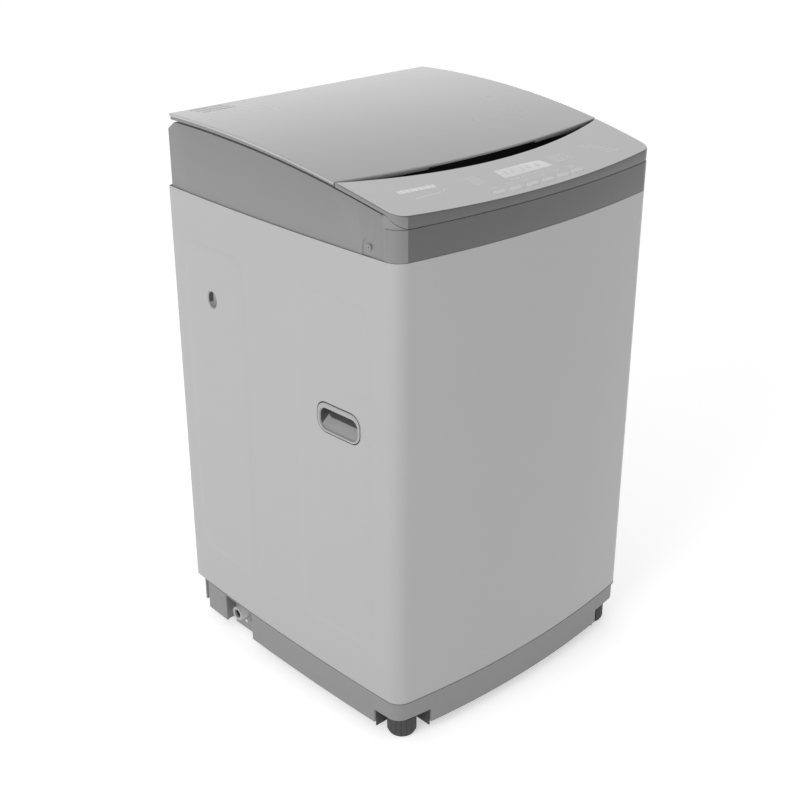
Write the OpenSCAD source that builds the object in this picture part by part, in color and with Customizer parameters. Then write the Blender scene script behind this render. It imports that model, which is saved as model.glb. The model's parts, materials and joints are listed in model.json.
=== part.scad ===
// Top load washing machine, millimetres, +Z up, front towards -Y.
// Origin on the floor, under the middle of the cabinet.

/* [Cabinet] */
// Widest width over the pressed side panels
body_w = 590; // [584:1:596]
// How far each side panel bows outwards
bow_side = 8; // [4:1:10]
// How far the front panel bows outwards
bow_front = 25; // [18:1:30]
// Radius of the two front corners in plan
corner_r = 28; // [22:1:32]
// Thickness of the sheet steel
sheet_t = 1; // [0.8:0.1:1.2]
// Depth of the pressed fields in the side panels
press_d = 1.2; // [0.6:0.1:1.6]

/* [Top] */
// Height of the highest point of the lid
top_h = 970; // [966:1:974]
// Radius of the curved top surface, seen from the side
top_r = 2000; // [1900:50:2200]
// Radius of the round laundry opening
well_r = 172; // [160:1:175]

/* [Drum] */
// Outer radius of the fixed tub
tub_r = 265; // [260:1:267]
// Outer radius of the spin basket
drum_r = 250; // [246:1:252]
// Radius of the pulsator
puls_r = 170; // [150:1:185]
// Number of vanes on the pulsator
vanes = 4; // [3:1:6]

/* [Drive] */
// Root radius of the large pulley groove
pulley_r = 82; // [80:1:84]
// Root radius of the motor pulley groove
small_r = 26; // [25:1:27]
// Distance between motor shaft and basket axis
motor_x = 165; // [162:1:168]

/* [Hidden] */
$fn = 48;

// levels above the floor
z_skirt = 20;
z_cut = 46;
z_cab = 86;
z_deck = 845;
z_lip = 894.5;
// plan: front apex, virtual front corners, rear sheet plane
yf = -302.5;
yc = yf + bow_front;
yr = 284.5;
hx = body_w/2 - press_d + 0.35;
hxc = hx - bow_side;
hl = (yr - yc)/2;
ym = (yr + yc)/2;
rs = (hl*hl + bow_side*bow_side)/(2*bow_side);
rf = (hxc*hxc + bow_front*bow_front)/(2*bow_front);
ca = [rs - hx, ym];
cb = [0, yf + rf];
function unit(v) = v/norm(v);
function isect(a, ra, b, rb) = let(v = b - a, d = norm(v), t = (ra*ra - rb*rb + d*d)/(2*d),
    h = sqrt(ra*ra - t*t), u = v/d, n = [-u[1], u[0]], p = a + t*u, q = p + h*n,
    w = p - h*n) q[1] < w[1] ? q : w;
cc = isect(ca, rs - corner_r, cb, rf - corner_r);
// the curved top, seen from the side
y_top = 190;
function arc(y) = top_h - top_r + sqrt(top_r*top_r - (y - y_top)*(y - y_top));
// the joint line falls closer to the top surface towards the front
function thin(y) = 4*max(0, min(1, (117 - y)/383));
steps = 22;
ya = -320;
yb = 320;
// spin axis and the four suspension rods
ay = -9;
rx = 228;
ry = 212;
// lid hinge
hy = 262;
hz = 957.5;
// drain line
dy = 163;
dz = 47;
dx = -200;
// side handles, port
hnd = [-151, 558];
port = [169, 673];
// keys along the front of the panel
keys = [-85, -50, -15, 20, 55, 90];
function key_y(x) = -285 + x*x/3300;
tilt = asin((y_top + 284)/top_r);

module wedge2() {
    u1 = unit(cc - ca);
    u2 = unit(cc - cb);
    polygon([cc, cc + u1*60, cc + (u1 + u2)*60, cc + u2*60]);
}

module outline(o = 0, back = 0) {
    difference() {
        intersection() {
            translate(ca) circle(rs - o, $fn = 1440);
            translate([-ca[0], ca[1]]) circle(rs - o, $fn = 1440);
            translate(cb) circle(rf - o, $fn = 1440);
            translate([-400, -400]) square([800, 400 + yr - o - back]);
        }
        wedge2();
        mirror([1, 0]) wedge2();
    }
    for (m = [0, 1]) mirror([m, 0])
        intersection() {
            wedge2();
            translate(cc) circle(corner_r - o, $fn = 96);
        }
}

module slab(z0, z1, o = 0, back = 0) {
    translate([0, 0, z0]) linear_extrude(z1 - z0) outline(o, back);
}

// solid from z0 up to the curved top less r; k = 1 follows the joint line
module under(r, z0, k = 0) {
    rotate([90, 0, 90]) translate([0, 0, -400]) linear_extrude(800)
        polygon(concat([[ya, z0]],
            [for (i = [0:steps]) let(y = ya + (yb - ya)*i/steps)
                [y, arc(y) - r + k*thin(y)]],
            [[yb, z0]]));
}

module rr2(w, h, r) {
    square([w - 2*r, h], center = true);
    square([w, h - 2*r], center = true);
    for (i = [-1, 1], j = [-1, 1])
        translate([i*(w/2 - r), j*(h/2 - r)]) circle(r);
}

// prism along X whose outline is drawn in Y and Z
module xprism(x0, x1) {
    translate([x0, 0, 0]) rotate([90, 0, 90]) linear_extrude(x1 - x0) children();
}

// prism along Y whose outline is drawn in X and Z
module yprism(y0, y1) {
    translate([0, y1, 0]) rotate([90, 0, 0]) linear_extrude(y1 - y0) children();
}

module ring(ro, ri, h) {
    difference() {
        cylinder(r = ro, h = h);
        translate([0, 0, -1]) cylinder(r = ri, h = h + 2);
    }
}

module rods() {
    for (i = [-1, 1], j = [-1, 1]) translate([i*rx, ay + j*ry, 0]) children();
}

module sides() {
    children();
    mirror([1, 0, 0]) children();
}

module press_fields(e) {
    for (c = [-138, 163])
        xprism(-320, 320) translate([c, 468]) rr2(164 - 2*e, 592 - 2*e, 30 - e);
}

// ---- cabinet ----

module cabinet_shell() {
    color("gainsboro") difference() {
        union() {
            slab(z_cab, z_deck, 0);
            intersection() {
                slab(z_cab, z_deck, -press_d, press_d);
                press_fields(0);
            }
        }
        slab(z_cab - 1, z_deck + 1, sheet_t);
        intersection() {
            slab(z_cab - 1, z_deck + 1, sheet_t - press_d, press_d);
            press_fields(sheet_t);
        }
        translate([-264, yr - 3, z_cab - 1]) cube([528, 6, 761]);
        translate([0, 0, 0]) xprism(-320, 320)
            translate(hnd) rr2(100, 54, 21);
        translate([-320, port[0], port[1]]) rotate([0, 90, 0]) cylinder(r = 15, h = 60);
    }
}

module rear_panel() {
    color("silver") difference() {
        union() {
            translate([-277, yr, z_cab + 2]) cube([554, 1, 755]);
            yprism(yr, yr + 4) translate([0, 640]) rr2(420, 300, 20);
            yprism(yr, yr + 4) translate([0, 250]) rr2(420, 260, 20);
        }
        yprism(yr - 1, yr + 3) translate([0, 640]) rr2(418, 298, 19);
        yprism(yr - 1, yr + 3) translate([0, 250]) rr2(418, 258, 19);
        translate([-240, yr - 1, 300]) rotate([-90, 0, 0]) cylinder(r = 10, h = 6);
    }
}

module base_frame() {
    color("slategray") {
        difference() {
            slab(z_skirt, z_cab - 5, 3);
            slab(z_skirt - 1, z_cab, 7);
            // clearance round the two adjustable feet
            sides() translate([-320, -320, 0]) cube([105, 99, z_cut]);
            // the skirt stops short of the rear corners
            sides() translate([-320, 252, 0]) cube([48, 60, 90]);
            translate([-200, 275, 0]) cube([400, 30, 60]);
            // drain recess on the left
            translate([-320, 110, 0]) cube([60, 82, 75]);
        }
        // rim that carries the sheet steel
        difference() {
            slab(z_cab - 5, z_cab, 1.5);
            translate([0, 0, z_cab - 6]) linear_extrude(8) polygon([[-246, -205], [-205, -246],
                [205, -246], [246, -205], [246, 205], [215, 238], [-215, 238], [-246, 205]]);
        }
        // recessed wall behind the drain opening
        difference() {
            translate([-258, 106, 22]) cube([3, 90, z_cab - 5 - 22]);
            translate([-260, dy, dz]) rotate([0, 90, 0]) cylinder(r = 13.7, h = 8);
        }
        for (y = [106, 192]) difference() {
            translate([-284, y, 22]) cube([26, 4, z_cab - 5 - 22]);
            translate([-300, y - 1, 0]) cube([14.5, 6, 60]);
        }
        // bosses for the feet, with their webs
        sides() difference() {
            union() {
                translate([-247, -247, z_cut]) cylinder(r = 21, h = z_cab - z_cut);
                translate([-247, -260, z_cut]) cube([56, 3, z_cab - 5 - z_cut]);
                translate([-262, -247, z_cut]) cube([3, 56, z_cab - 5 - z_cut]);
                intersection() {
                    slab(z_cab - 5, z_cab, 20);
                    translate([-320, -320, 0]) cube([130, 140, 200]);
                }
            }
            translate([-247, -247, z_cut - 1]) cylinder(r = 6.05, h = 60);
        }
        sides() {
            translate([-232, 215, 40]) cylinder(r = 22, h = z_cab - 40);
            translate([-280, 188, z_cab - 5]) cube([70, 70, 5]);
        }
    }
}

module foot_front_left() {
    color("dimgray") translate([-247, -247, 0]) foot_knob();
}

module foot_front_right() {
    color("dimgray") translate([247, -247, 0]) foot_knob();
}

module foot_knob() {
    difference() {
        union() {
            cylinder(r = 22, h = 4);
            translate([0, 0, 4]) cylinder(r = 25, h = 32);
            translate([0, 0, 36]) cylinder(r = 12, h = z_cut - 36.3, $fn = 6);
            translate([0, 0, 36]) cylinder(r = 6, h = 45);
        }
        for (i = [0:15]) rotate([0, 0, i*22.5])
            translate([26.2, 0, 8]) cylinder(r = 2.4, h = 30, $fn = 8);
    }
}

module rear_feet() {
    color("dimgray") sides() translate([-232, 215, 0]) {
        cylinder(r = 20, h = 6);
        translate([0, 0, 6]) cylinder(r = 16, h = 34);
    }
}

module corner_braces() {
    color("silver") sides() {
        difference() {
            intersection() {
                slab(829, 832, sheet_t + 0.3);
                linear_extrude(900) polygon([[-320, -320], [-150, -320], [-150, -255],
                    [-205, -190], [-250, -140], [-320, -140]]);
            }
            translate([-rx, ay - ry, 820]) cylinder(r = 9, h = 20);
        }
        difference() {
            intersection() {
                slab(829, 832, sheet_t + 0.3);
                linear_extrude(900) polygon([[-320, 320], [-150, 320], [-150, 250],
                    [-205, 180], [-250, 130], [-320, 130]]);
            }
            translate([-rx, ay + ry, 820]) cylinder(r = 9, h = 20);
        }
    }
}

module rod_sockets() {
    color("whitesmoke") rods() difference() {
        union() {
            translate([0, 0, 832]) cylinder(r = 13, h = 4);
            translate([0, 0, 824]) cylinder(r = 8.9, h = 10);
        }
        translate([0, 0, 820]) cylinder(r = 4, h = 20);
    }
}

module suspension_rods() {
    color("lightgray") rods() {
        translate([0, 0, 238]) cylinder(r = 4, h = 600);
        translate([0, 0, 836]) cylinder(r = 8, h = 6);
        translate([0, 0, 234]) cylinder(r = 16, h = 6);
    }
}

// spring drawn as a stack of square coils round the rod
module suspension_springs() {
    color("darkgray") rods() for (i = [0:6]) translate([0, 0, 240.2 + i*11.3])
        difference() {
            cylinder(r = 16, h = i == 6 ? 9.8 : 11.3, $fn = 12);
            translate([0, 0, -1]) cylinder(r = 11, h = 14, $fn = 12);
            translate([0, 0, 4]) difference() {
                cylinder(r = 20, h = 4, $fn = 12);
                translate([0, 0, -1]) cylinder(r = 13, h = 6, $fn = 12);
            }
        }
}

module side_handle() {
    difference() {
        union() {
            intersection() {
                slab(500, 620, 0.5 - press_d);
                xprism(-300, -257) translate(hnd) rr2(98, 52, 20);
            }
            intersection() {
                difference() {
                    slab(500, 620, sheet_t - press_d + 0.1);
                    slab(490, 630, sheet_t - press_d + 2);
                }
                xprism(-300, -257) translate(hnd) rr2(108, 62, 25);
            }
        }
        intersection() {
            xprism(-310, -259.5) translate(hnd) rr2(88, 42, 15);
            yprism(hnd[0] - 60, hnd[0] + 60) polygon([[-310, hnd[1] - 30],
                [-294, hnd[1] - 22], [-266, hnd[1] + 6], [-259, hnd[1] + 12],
                [-259, hnd[1] + 40], [-310, hnd[1] + 40]]);
        }
        yprism(hnd[0] - 60, hnd[0] + 60) polygon([[-284, hnd[1] - 34],
            [-257, hnd[1] - 34], [-250, hnd[1] - 34], [-250, hnd[1] + 4],
            [-257, hnd[1] + 4]]);
    }
}

module side_handles() {
    color("gray") sides() side_handle();
}

module side_port_cup() {
    color("dimgray") difference() {
        union() {
            translate([-292.6, port[0], port[1]]) rotate([0, 90, 0]) cylinder(r = 14.7, h = 12);
            intersection() {
                difference() {
                    slab(600, 740, sheet_t - press_d + 0.1);
                    slab(590, 750, sheet_t - press_d + 1.5);
                }
                translate([-300, port[0], port[1]]) rotate([0, 90, 0]) cylinder(r = 19, h = 20);
            }
        }
        translate([-300, port[0], port[1]]) rotate([0, 90, 0]) cylinder(r = 12.5, h = 15);
        translate([-300, port[0] + 1, port[1] - 6]) rotate([0, 90, 0]) cylinder(r = 3, h = 30);
    }
}

module drain_outlet() {
    color("lightgray") difference() {
        union() {
            translate([-284, dy, dz]) rotate([0, 90, 0]) cylinder(r = 13.5, h = 84);
            translate([dx, dy, dz]) sphere(13.5);
            translate([dx, dy, dz]) cylinder(r = 13.5, h = 31);
            translate([-255, dy, dz]) rotate([0, 90, 0]) cylinder(r = 20, h = 3);
        }
        translate([-290, dy, dz]) rotate([0, 90, 0]) cylinder(r = 11, h = 90);
        translate([dx, dy, dz]) sphere(11);
        translate([dx, dy, dz]) cylinder(r = 11, h = 40);
    }
}

module drain_bellows() {
    color("gray") translate([dx, dy, 78]) difference() {
        union() {
            cylinder(r = 15, h = 62);
            for (i = [0:4]) translate([0, 0, 5 + i*12]) cylinder(r = 18, h = 5);
        }
        translate([0, 0, -1]) cylinder(r = 11, h = 70);
    }
}

module power_gland() {
    color("dimgray") translate([-240, yr - 3, 300]) rotate([-90, 0, 0]) difference() {
        union() {
            cylinder(r = 9.8, h = 8);
            translate([0, 0, 4]) cylinder(r = 15, h = 7);
            cylinder(r = 14, h = 3);
        }
        translate([0, 0, -1]) cylinder(r = 4.5, h = 20);
    }
}

// ---- top ----

// plan of the laundry opening: a circle with a flat rear side
module well2(e = 0) {
    intersection() {
        translate([0, 22]) circle(well_r + e, $fn = 96);
        translate([-300, -400]) square([600, 550 + e]);
    }
}

module chamfer() {
    xprism(-400, 400) polygon([[249.5, 975], [249.5, 959.8], [274, 942.6], [274, 800],
        [400, 800], [400, 1000], [249.5, 1000]]);
}

module top_cover() {
    color("gray") difference() {
        union() {
            // outer walls and top skin
            difference() {
                intersection() {
                    slab(z_deck, 975, 1.5);
                    under(13, z_deck - 5, 1);
                }
                chamfer();
                intersection() {
                    slab(z_deck - 1, 975, 4.5);
                    under(16, z_deck - 5, 1);
                    xprism(-400, 400) polygon([[-400, 800], [271, 800], [271, 941],
                        [246, 958.4], [246, 1000], [-400, 1000]]);
                }
                translate([-281, -400, z_deck + 26]) cube([562, 247, 200]);
                translate([0, 0, 800]) linear_extrude(200) well2();
            }
            // floor under the controls
            difference() {
                slab(z_deck + 22, z_deck + 25, 4);
                translate([-400, -153, 0]) cube([800, 600, 1000]);
                translate([0, 0, 800]) linear_extrude(200) well2(1);
            }
            // wall down into the tub
            intersection() {
                translate([0, 0, 806]) linear_extrude(170) difference() {
                    well2(3);
                    well2();
                }
                under(14, 700, 1);
            }
            // wall that closes the control space
            difference() {
                intersection() {
                    translate([-281, -153, z_deck + 22]) cube([562, 3, 100]);
                    under(14, 800, 1);
                }
                translate([0, 0, 800]) linear_extrude(200) well2(1);
            }
        }
        // room for the front trim
        difference() {
            slab(z_deck - 1, z_lip + 0.3, -5);
            slab(z_deck - 2, 900, 3);
            translate([-400, -254, 0]) cube([800, 700, 1000]);
        }
        // lowered front edge under the panel lip
        translate([-400, -400, z_lip - 1]) cube([800, 137, 100]);
        // arched screw recesses
        sides() xprism(-300, -287.2) translate([-223, 0]) {
            translate([-15, z_deck - 1]) square([30, 15]);
            translate([0, 858.5]) circle(15);
        }
        // drawer window in the flat wall
        translate([-71, 145, 876]) cube([142, 12, 64]);
        // water inlet
        translate([120, 260, 905]) rotate([-90, 0, 0]) cylinder(r = 13.5, h = 30);
        sides() translate([-229, 246, 938]) cube([20, 40, 40]);
    }
}

module deck_front_trim() {
    color("gray") difference() {
        slab(z_deck, z_lip - 0.5, 0);
        slab(z_deck - 1, z_lip + 1, 2.8);
        translate([-400, -254, 0]) cube([800, 700, 1000]);
    }
}

module fascia_plan(o) {
    difference() {
        intersection() {
            outline(o);
            translate([-400, -400]) square([800, 260]);
        }
        translate([0, 718]) circle(919, $fn = 720);
    }
}

module circle2(r) {
    translate([0, 718]) circle(r, $fn = 720);
}

// piece of the finger recess between two depths below the top
module recess_part(r0, r1) {
    difference() {
        intersection() {
            translate([0, 0, 880]) linear_extrude(100) intersection() {
                outline(14);
                translate([-400, -400]) square([800, 246.4]);
                children();
            }
            under(r0, 870);
        }
        under(r1, 860);
    }
}

module joint_line() {
    xprism(-400, 400) polygon(concat([[-400, 800], [-400, z_lip], [-272, z_lip]],
        [for (i = [0:5]) let(y = -264 + i*24) [y, arc(y) - 10 + thin(y)]],
        [[-144, 800]]));
}

module control_fascia() {
    color("lightgray") difference() {
        union() {
            // skin
            difference() {
                intersection() {
                    translate([0, 0, 880]) linear_extrude(100) fascia_plan(0.5);
                    under(0, 870);
                }
                under(3, 860);
            }
            // lip round the front and sides
            difference() {
                intersection() {
                    translate([0, 0, 880]) linear_extrude(100) difference() {
                        fascia_plan(0.5);
                        outline(3);
                    }
                    under(1, 870);
                }
                joint_line();
            }
            // finger recess behind the panel: front wall, floor, rear wall
            recess_part(2.5, 28.5) difference() {
                circle2(921.5);
                circle2(919);
            }
            recess_part(26, 28.5) circle2(920);
            recess_part(14, 28.5) translate([-300, -156]) square([600, 2.4]);
            for (x = [-112, 112], y = [-280, -222])
                translate([x, y, 897.6]) cylinder(r = 3, h = y < -250 ? 15 : 28, $fn = 24);
        }
        // display pocket
        intersection() {
            linear_extrude(1000) display2(0);
            difference() {
                under(-5, 880);
                under(1.2, 870);
            }
        }
        // key windows
        for (x = keys) translate([x, key_y(x), arc(key_y(x))]) rotate([tilt, 0, 0])
            translate([0, 0, -8]) linear_extrude(16) rr2(27, 10, 4);
    }
}

module display2(e) {
    polygon([[-42 + e, -254 + e], [67 - e, -254 + e], [59 - e, -229 - e],
        [-42 + e, -229 - e]]);
}

module display_window() {
    color("white") intersection() {
        linear_extrude(1000) display2(0.15);
        difference() {
            under(0, 880);
            under(1.2, 870);
        }
    }
}

module control_board() {
    color("darkgreen") {
        translate([-118, -290, 896]) cube([236, 76, 1.6]);
        translate([-100, -250, 886]) cube([40, 30, 10]);
        translate([20, -255, 880]) cube([30, 30, 16]);
        translate([70, -250, 889]) cube([36, 14, 7]);
        translate([-40, -246, 897.6]) cube([100, 14, 8]);
    }
}

module key(i) {
    x = keys[i];
    translate([x, key_y(x), arc(key_y(x))]) rotate([tilt, 0, 0]) {
        translate([0, 0, -4]) linear_extrude(4.6) rr2(26, 9, 3.6);
        translate([-15, -5.6, -5]) cube([30, 11.2, 1.5]);
    }
}

module button_program() { color("whitesmoke") key(0); }
module button_level() { color("whitesmoke") key(1); }
module button_wash() { color("whitesmoke") key(2); }
module button_rinse() { color("whitesmoke") key(3); }
module button_delay() { color("whitesmoke") key(4); }
module button_start() { color("whitesmoke") key(5); }

// plan of the lid, e inside its outer edge
module lid_plan(e) {
    intersection() {
        outline(e - 0.5);
        translate([0, -175.5 + 1900]) circle(1900 - e, $fn = 720);
        translate([-400, -300]) square([800, 568 - e]);
    }
}

module lid_panel() {
    color("gainsboro") difference() {
        intersection() {
            translate([0, 0, 900]) linear_extrude(100) lid_plan(0);
            under(0, 880);
        }
        under(4, 870);
    }
}

module lid_frame() {
    color("darkgray") {
        difference() {
            intersection() {
                translate([0, 0, 900]) linear_extrude(100) difference() {
                    lid_plan(2.5);
                    // grip under the front edge
                    intersection() {
                        translate([0, -120]) square([240, 150], center = true);
                        difference() {
                            translate([0, -400]) square([400, 800], center = true);
                            translate([0, -150 + 1900]) circle(1900, $fn = 720);
                        }
                    }
                    translate([0, 45]) rr2(440, 300, 60);
                }
                under(4, 880);
            }
            under(10, 870, 1);
            // room for the hinge ears
            sides() translate([-226, 240, 930]) cube([14, 60, 50]);
        }
        sides() translate([-231.5, hy, hz]) rotate([0, 90, 0]) cylinder(r = 2.5, h = 25);
        sides() for (x = [-232, -212.5])
            translate([x, hy, hz]) rotate([0, 90, 0]) cylinder(r = 5, h = 6.5);
    }
}

module lid_bumpers() {
    color("black") sides() for (y = [-120, 190])
        translate([-268, y, arc(y) - 10 + thin(y)])
            rotate([y < 0 ? 8.3 : 0, 0, 0]) translate([0, 0, -2.5]) cylinder(r = 6, h = 2.35);
}

module hinge_bushes() {
    color("whitesmoke") sides() difference() {
        union() {
            translate([-224, hy, hz]) rotate([0, 90, 0]) cylinder(r = 5.5, h = 10);
            translate([-224, hy - 5, 925]) cube([10, 10, hz - 925]);
            translate([-228, hy - 12, 925]) cube([18, 17, 13]);
        }
        translate([-230, hy, hz]) rotate([0, 90, 0]) cylinder(r = 2.55, h = 30);
    }
}

module inlet_valve() {
    color("whitesmoke") difference() {
        union() {
            translate([100, 205, 887]) cube([40, 65.8, 36]);
            translate([120, 265, 905]) rotate([-90, 0, 0]) cylinder(r = 13.2, h = 37.5);
            translate([120, 284, 905]) rotate([-90, 0, 0]) cylinder(r = 16, h = 2.5);
            translate([105, 212, 923]) cube([30, 30, 22]);
        }
        translate([120, 240, 905]) rotate([-90, 0, 0]) cylinder(r = 8, h = 70);
        translate([90, 222, 905]) rotate([0, 90, 0]) cylinder(r = 5, h = 34);
        translate([120, 218, 905]) rotate([-90, 0, 0]) cylinder(r = 5, h = 40);
    }
}

module inlet_tube() {
    color("gray") translate([75, 222, 905]) rotate([0, 90, 0]) ring(8, 5, 25);
}

module drawer_housing() {
    color("gainsboro") difference() {
        translate([-75, 153, 872]) cube([150, 90, 74]);
        translate([-72, 150, 876]) cube([144, 90, 66]);
        translate([60, 222, 905]) rotate([0, 90, 0]) cylinder(r = 5, h = 20);
        for (x = [-50:20:50]) translate([x, 170, 860]) cylinder(r = 4, h = 30);
    }
}

module detergent_drawer() {
    color("white") difference() {
        union() {
            translate([-70.4, 146, 877]) cube([140.8, 5, 62]);
            translate([-70.4, 150, 876.4]) cube([140.8, 84, 52.6]);
        }
        translate([-68, 153, 879]) cube([64, 78, 60]);
        translate([-1, 153, 879]) cube([69, 78, 60]);
        // finger notch in the drawer front
        translate([-30, 140, 930]) cube([60, 20, 12]);
        translate([30, 200, 870]) cylinder(r = 6, h = 20);
    }
}

module level_sensor() {
    color("black") translate([-117.5, 243, 880]) {
        cylinder(r = 22, h = 16);
        translate([0, 0, 16]) cylinder(r = 8, h = 10);
        translate([-6, 10, 0]) cube([12, 17.5, 12]);
    }
}

module pressure_tube() {
    color("gray") translate([-117.5, 243, 300]) ring(3.5, 2, 580);
}

module lid_switch() {
    color("dimgray") {
        translate([222, 92, 905]) cube([26, 58, 44]);
        translate([230, 100, 890]) cube([10, 20, 15]);
    }
}

module screw_head() {
    difference() {
        cylinder(r = 4.6, h = 2.4);
        translate([-3, -0.6, 1.4]) cube([6, 1.2, 2]);
        translate([-0.6, -3, 1.4]) cube([1.2, 6, 2]);
    }
}

module case_screws() {
    color("silver") {
        sides() translate([-287.2, -223, 860]) rotate([0, -90, 0]) screw_head();
        for (x = [-268, 268], z = [130, 460, 800])
            translate([x, yr + 1, z]) rotate([-90, 0, 0]) screw_head();
        sides() translate([-150, 274, 870]) rotate([-90, 0, 0]) screw_head();
    }
}

// ---- tub and suspension ----

module outer_tub() {
    color("whitesmoke") translate([0, ay, 0]) difference() {
        union() {
            translate([0, 0, 215]) cylinder(r = tub_r, h = 565);
            translate([0, 0, 772]) cylinder(r = tub_r + 4, h = 8);
            for (z = [360, 480, 600]) translate([0, 0, z]) cylinder(r = tub_r + 2, h = 4);
            translate([0, 0, 205]) cylinder(r = 84, h = 12);
            for (i = [0:7]) rotate([0, 0, 22.5 + i*45])
                translate([88, -1.5, 199]) cube([165, 3, 18]);
            // lugs for the rods
            for (i = [-1, 1], j = [-1, 1]) {
                translate([i*rx, j*ry, 322]) union() {
                    cylinder(r = 20, h = 12);
                    rotate([0, 0, atan2(j*ry, i*rx)])
                        translate([-60, -14, 0]) cube([48, 28, 12]);
                    rotate([0, 0, atan2(j*ry, i*rx)])
                        translate([-60, -2, 10]) cube([50, 4, 24]);
                }
            }
            // air chamber for the level sensor
            translate([-117.5 - 12, 230, 222]) cube([24, 22, 70]);
            translate([-117.5, 243 - ay, 222]) cylinder(r = 4, h = 78);
        }
        translate([0, 0, 220]) cylinder(r = tub_r - 3, h = 600);
        translate([0, 0, 190]) cylinder(r = 28, h = 60);
        translate([0, 0, 190]) cylinder(r = 30, h = 20);
        rods0() translate([0, 0, 300]) cylinder(r = 6, h = 60);
        translate([-150, dy - ay, 200]) cylinder(r = 14, h = 40);
        translate([-117.5, 243 - ay, 240]) cylinder(r = 2, h = 70);
    }
}

module rods0() {
    for (i = [-1, 1], j = [-1, 1]) translate([i*rx, j*ry, 0]) children();
}

module tub_cover_ring() {
    color("whitesmoke") translate([0, ay, 0]) {
        translate([0, 0, 780]) ring(tub_r + 5, 213, 6);
        translate([0, 0, 774.5]) ring(216, 213, 6);
        for (i = [0:7]) rotate([0, 0, i*45]) translate([tub_r + 4.2, -12, 766])
            cube([2.5, 24, 16]);
    }
}

module spring_cups() {
    color("dimgray") rods() difference() {
        union() {
            translate([0, 0, 318]) cylinder(r = 21, h = 4);
            translate([0, 0, 280]) cylinder(r = 21, h = 39);
        }
        translate([0, 0, 279]) cylinder(r = 18.5, h = 39.2);
        translate([0, 0, 310]) cylinder(r = 6, h = 20);
    }
}

module mount_plate() {
    color("silver") difference() {
        union() {
            translate([0, 0, 196]) linear_extrude(3) polygon([[-100, -60], [-50, -100],
                [180, -100], [238, -50], [238, 40], [190, 90], [60, 190], [-80, 190],
                [-100, 160]]);
            translate([-70, 62, 113]) cylinder(r = 4, h = 83);
            for (p = [[-40, -98], [60, 186]]) translate([p[0], p[1] - (p[1] > 0 ? 0 : 0), 190])
                cube([60, 3, 6]);
        }
        translate([0, ay, 190]) cylinder(r = 42.2, h = 20);
        translate([motor_x, ay, 190]) cylinder(r = 12, h = 20);
        translate([-150, dy, 190]) cylinder(r = 20, h = 20);
    }
}

module clutch_housing() {
    color("silver") translate([0, ay, 0]) difference() {
        union() {
            translate([0, 0, 140]) cylinder(r = 42, h = 60);
            translate([0, 0, 199]) cylinder(r = 80, h = 6);
            translate([0, 0, 205]) cylinder(r = 29.8, h = 3);
        }
        translate([0, 0, 130]) cylinder(r = 20, h = 90);
        translate([0, 0, 144]) cylinder(r = 31, h = 16);
        translate([0, 0, 185]) cylinder(r = 31, h = 16);
        for (i = [0:5]) rotate([0, 0, 30 + i*60]) translate([66, 0, 190])
            cylinder(r = 4, h = 20);
    }
}

module shaft_bearings() {
    color("lightgray") translate([0, ay, 0]) for (z = [144, 185]) {
        translate([0, 0, z]) ring(31, 26, 16);
        translate([0, 0, z + 2]) ring(26, 22.5, 12);
        translate([0, 0, z]) ring(22.5, 17.55, 16);
    }
}

module tub_seal() {
    color("black") translate([0, ay, 0]) {
        translate([0, 0, 212]) ring(28, 20, 10);
        translate([0, 0, 216]) ring(20, 17.56, 3);
    }
}

module motor_body() {
    color("dimgray") translate([motor_x, ay, 0]) difference() {
        union() {
            translate([0, 0, 112]) cylinder(r = 58, h = 76);
            translate([0, 0, 125]) cylinder(r = 65, h = 50);
            for (i = [0:3]) rotate([0, 0, 45 + i*90]) translate([62, 0, 170])
                cylinder(r = 9, h = 26, $fn = 24);
            translate([-14, -75, 140]) cube([28, 20, 24]);
        }
        translate([0, 0, 118]) cylinder(r = 41, h = 64);
        translate([0, 0, 100]) cylinder(r = 8.05, h = 120);
    }
}

module motor_rotor() {
    color("silver") translate([motor_x, ay, 0]) difference() {
        union() {
            translate([0, 0, 84]) cylinder(r = 8, h = 108);
            translate([0, 0, 126]) cylinder(r = 39, h = 48);
            translate([0, 0, 84]) cylinder(r = small_r, h = 20);
            translate([0, 0, 84]) cylinder(r = 33, h = 3);
            translate([0, 0, 101]) cylinder(r = 33, h = 3);
        }
        for (i = [0:2]) rotate([0, 0, i*120]) translate([17, 0, 80])
            cylinder(r = 5.5, h = 30);
    }
}

// belt line: two arcs joined by their outer tangents
module belt2(r1, r2, d) {
    t = acos((r1 - r2)/d);
    polygon(concat([for (i = [0:36]) let(a = t + (360 - 2*t)*i/36) r1*[cos(a), sin(a)]],
        [for (i = [0:18]) let(a = -t + 2*t*i/18) [d, 0] + r2*[cos(a), sin(a)]]));
}

module drive_belt() {
    color("black") translate([0, ay, 89.5]) linear_extrude(9) difference() {
        belt2(pulley_r + 4.4, small_r + 4.4, motor_x);
        belt2(pulley_r + 0.4, small_r + 0.4, motor_x);
    }
}

module drive_pulley() {
    color("silver") translate([0, ay, 0]) difference() {
        union() {
            translate([0, 0, 84]) cylinder(r = pulley_r, h = 20);
            translate([0, 0, 84]) cylinder(r = pulley_r + 7, h = 3);
            translate([0, 0, 101]) cylinder(r = pulley_r + 7, h = 3);
        }
        translate([0, 0, 80]) cylinder(r = 9, h = 40);
        difference() {
            translate([0, 0, 80]) cylinder(r = 74, h = 10);
            translate([0, 0, 70]) cylinder(r = 20, h = 40);
        }
        for (i = [0:5]) rotate([0, 0, i*60]) translate([46, 0, 80]) cylinder(r = 15, h = 40);
    }
}

module wash_shaft() {
    color("lightgray") translate([0, ay, 78]) {
        cylinder(r = 9, h = 214);
        cylinder(r = 14, h = 6, $fn = 6);
    }
}

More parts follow.
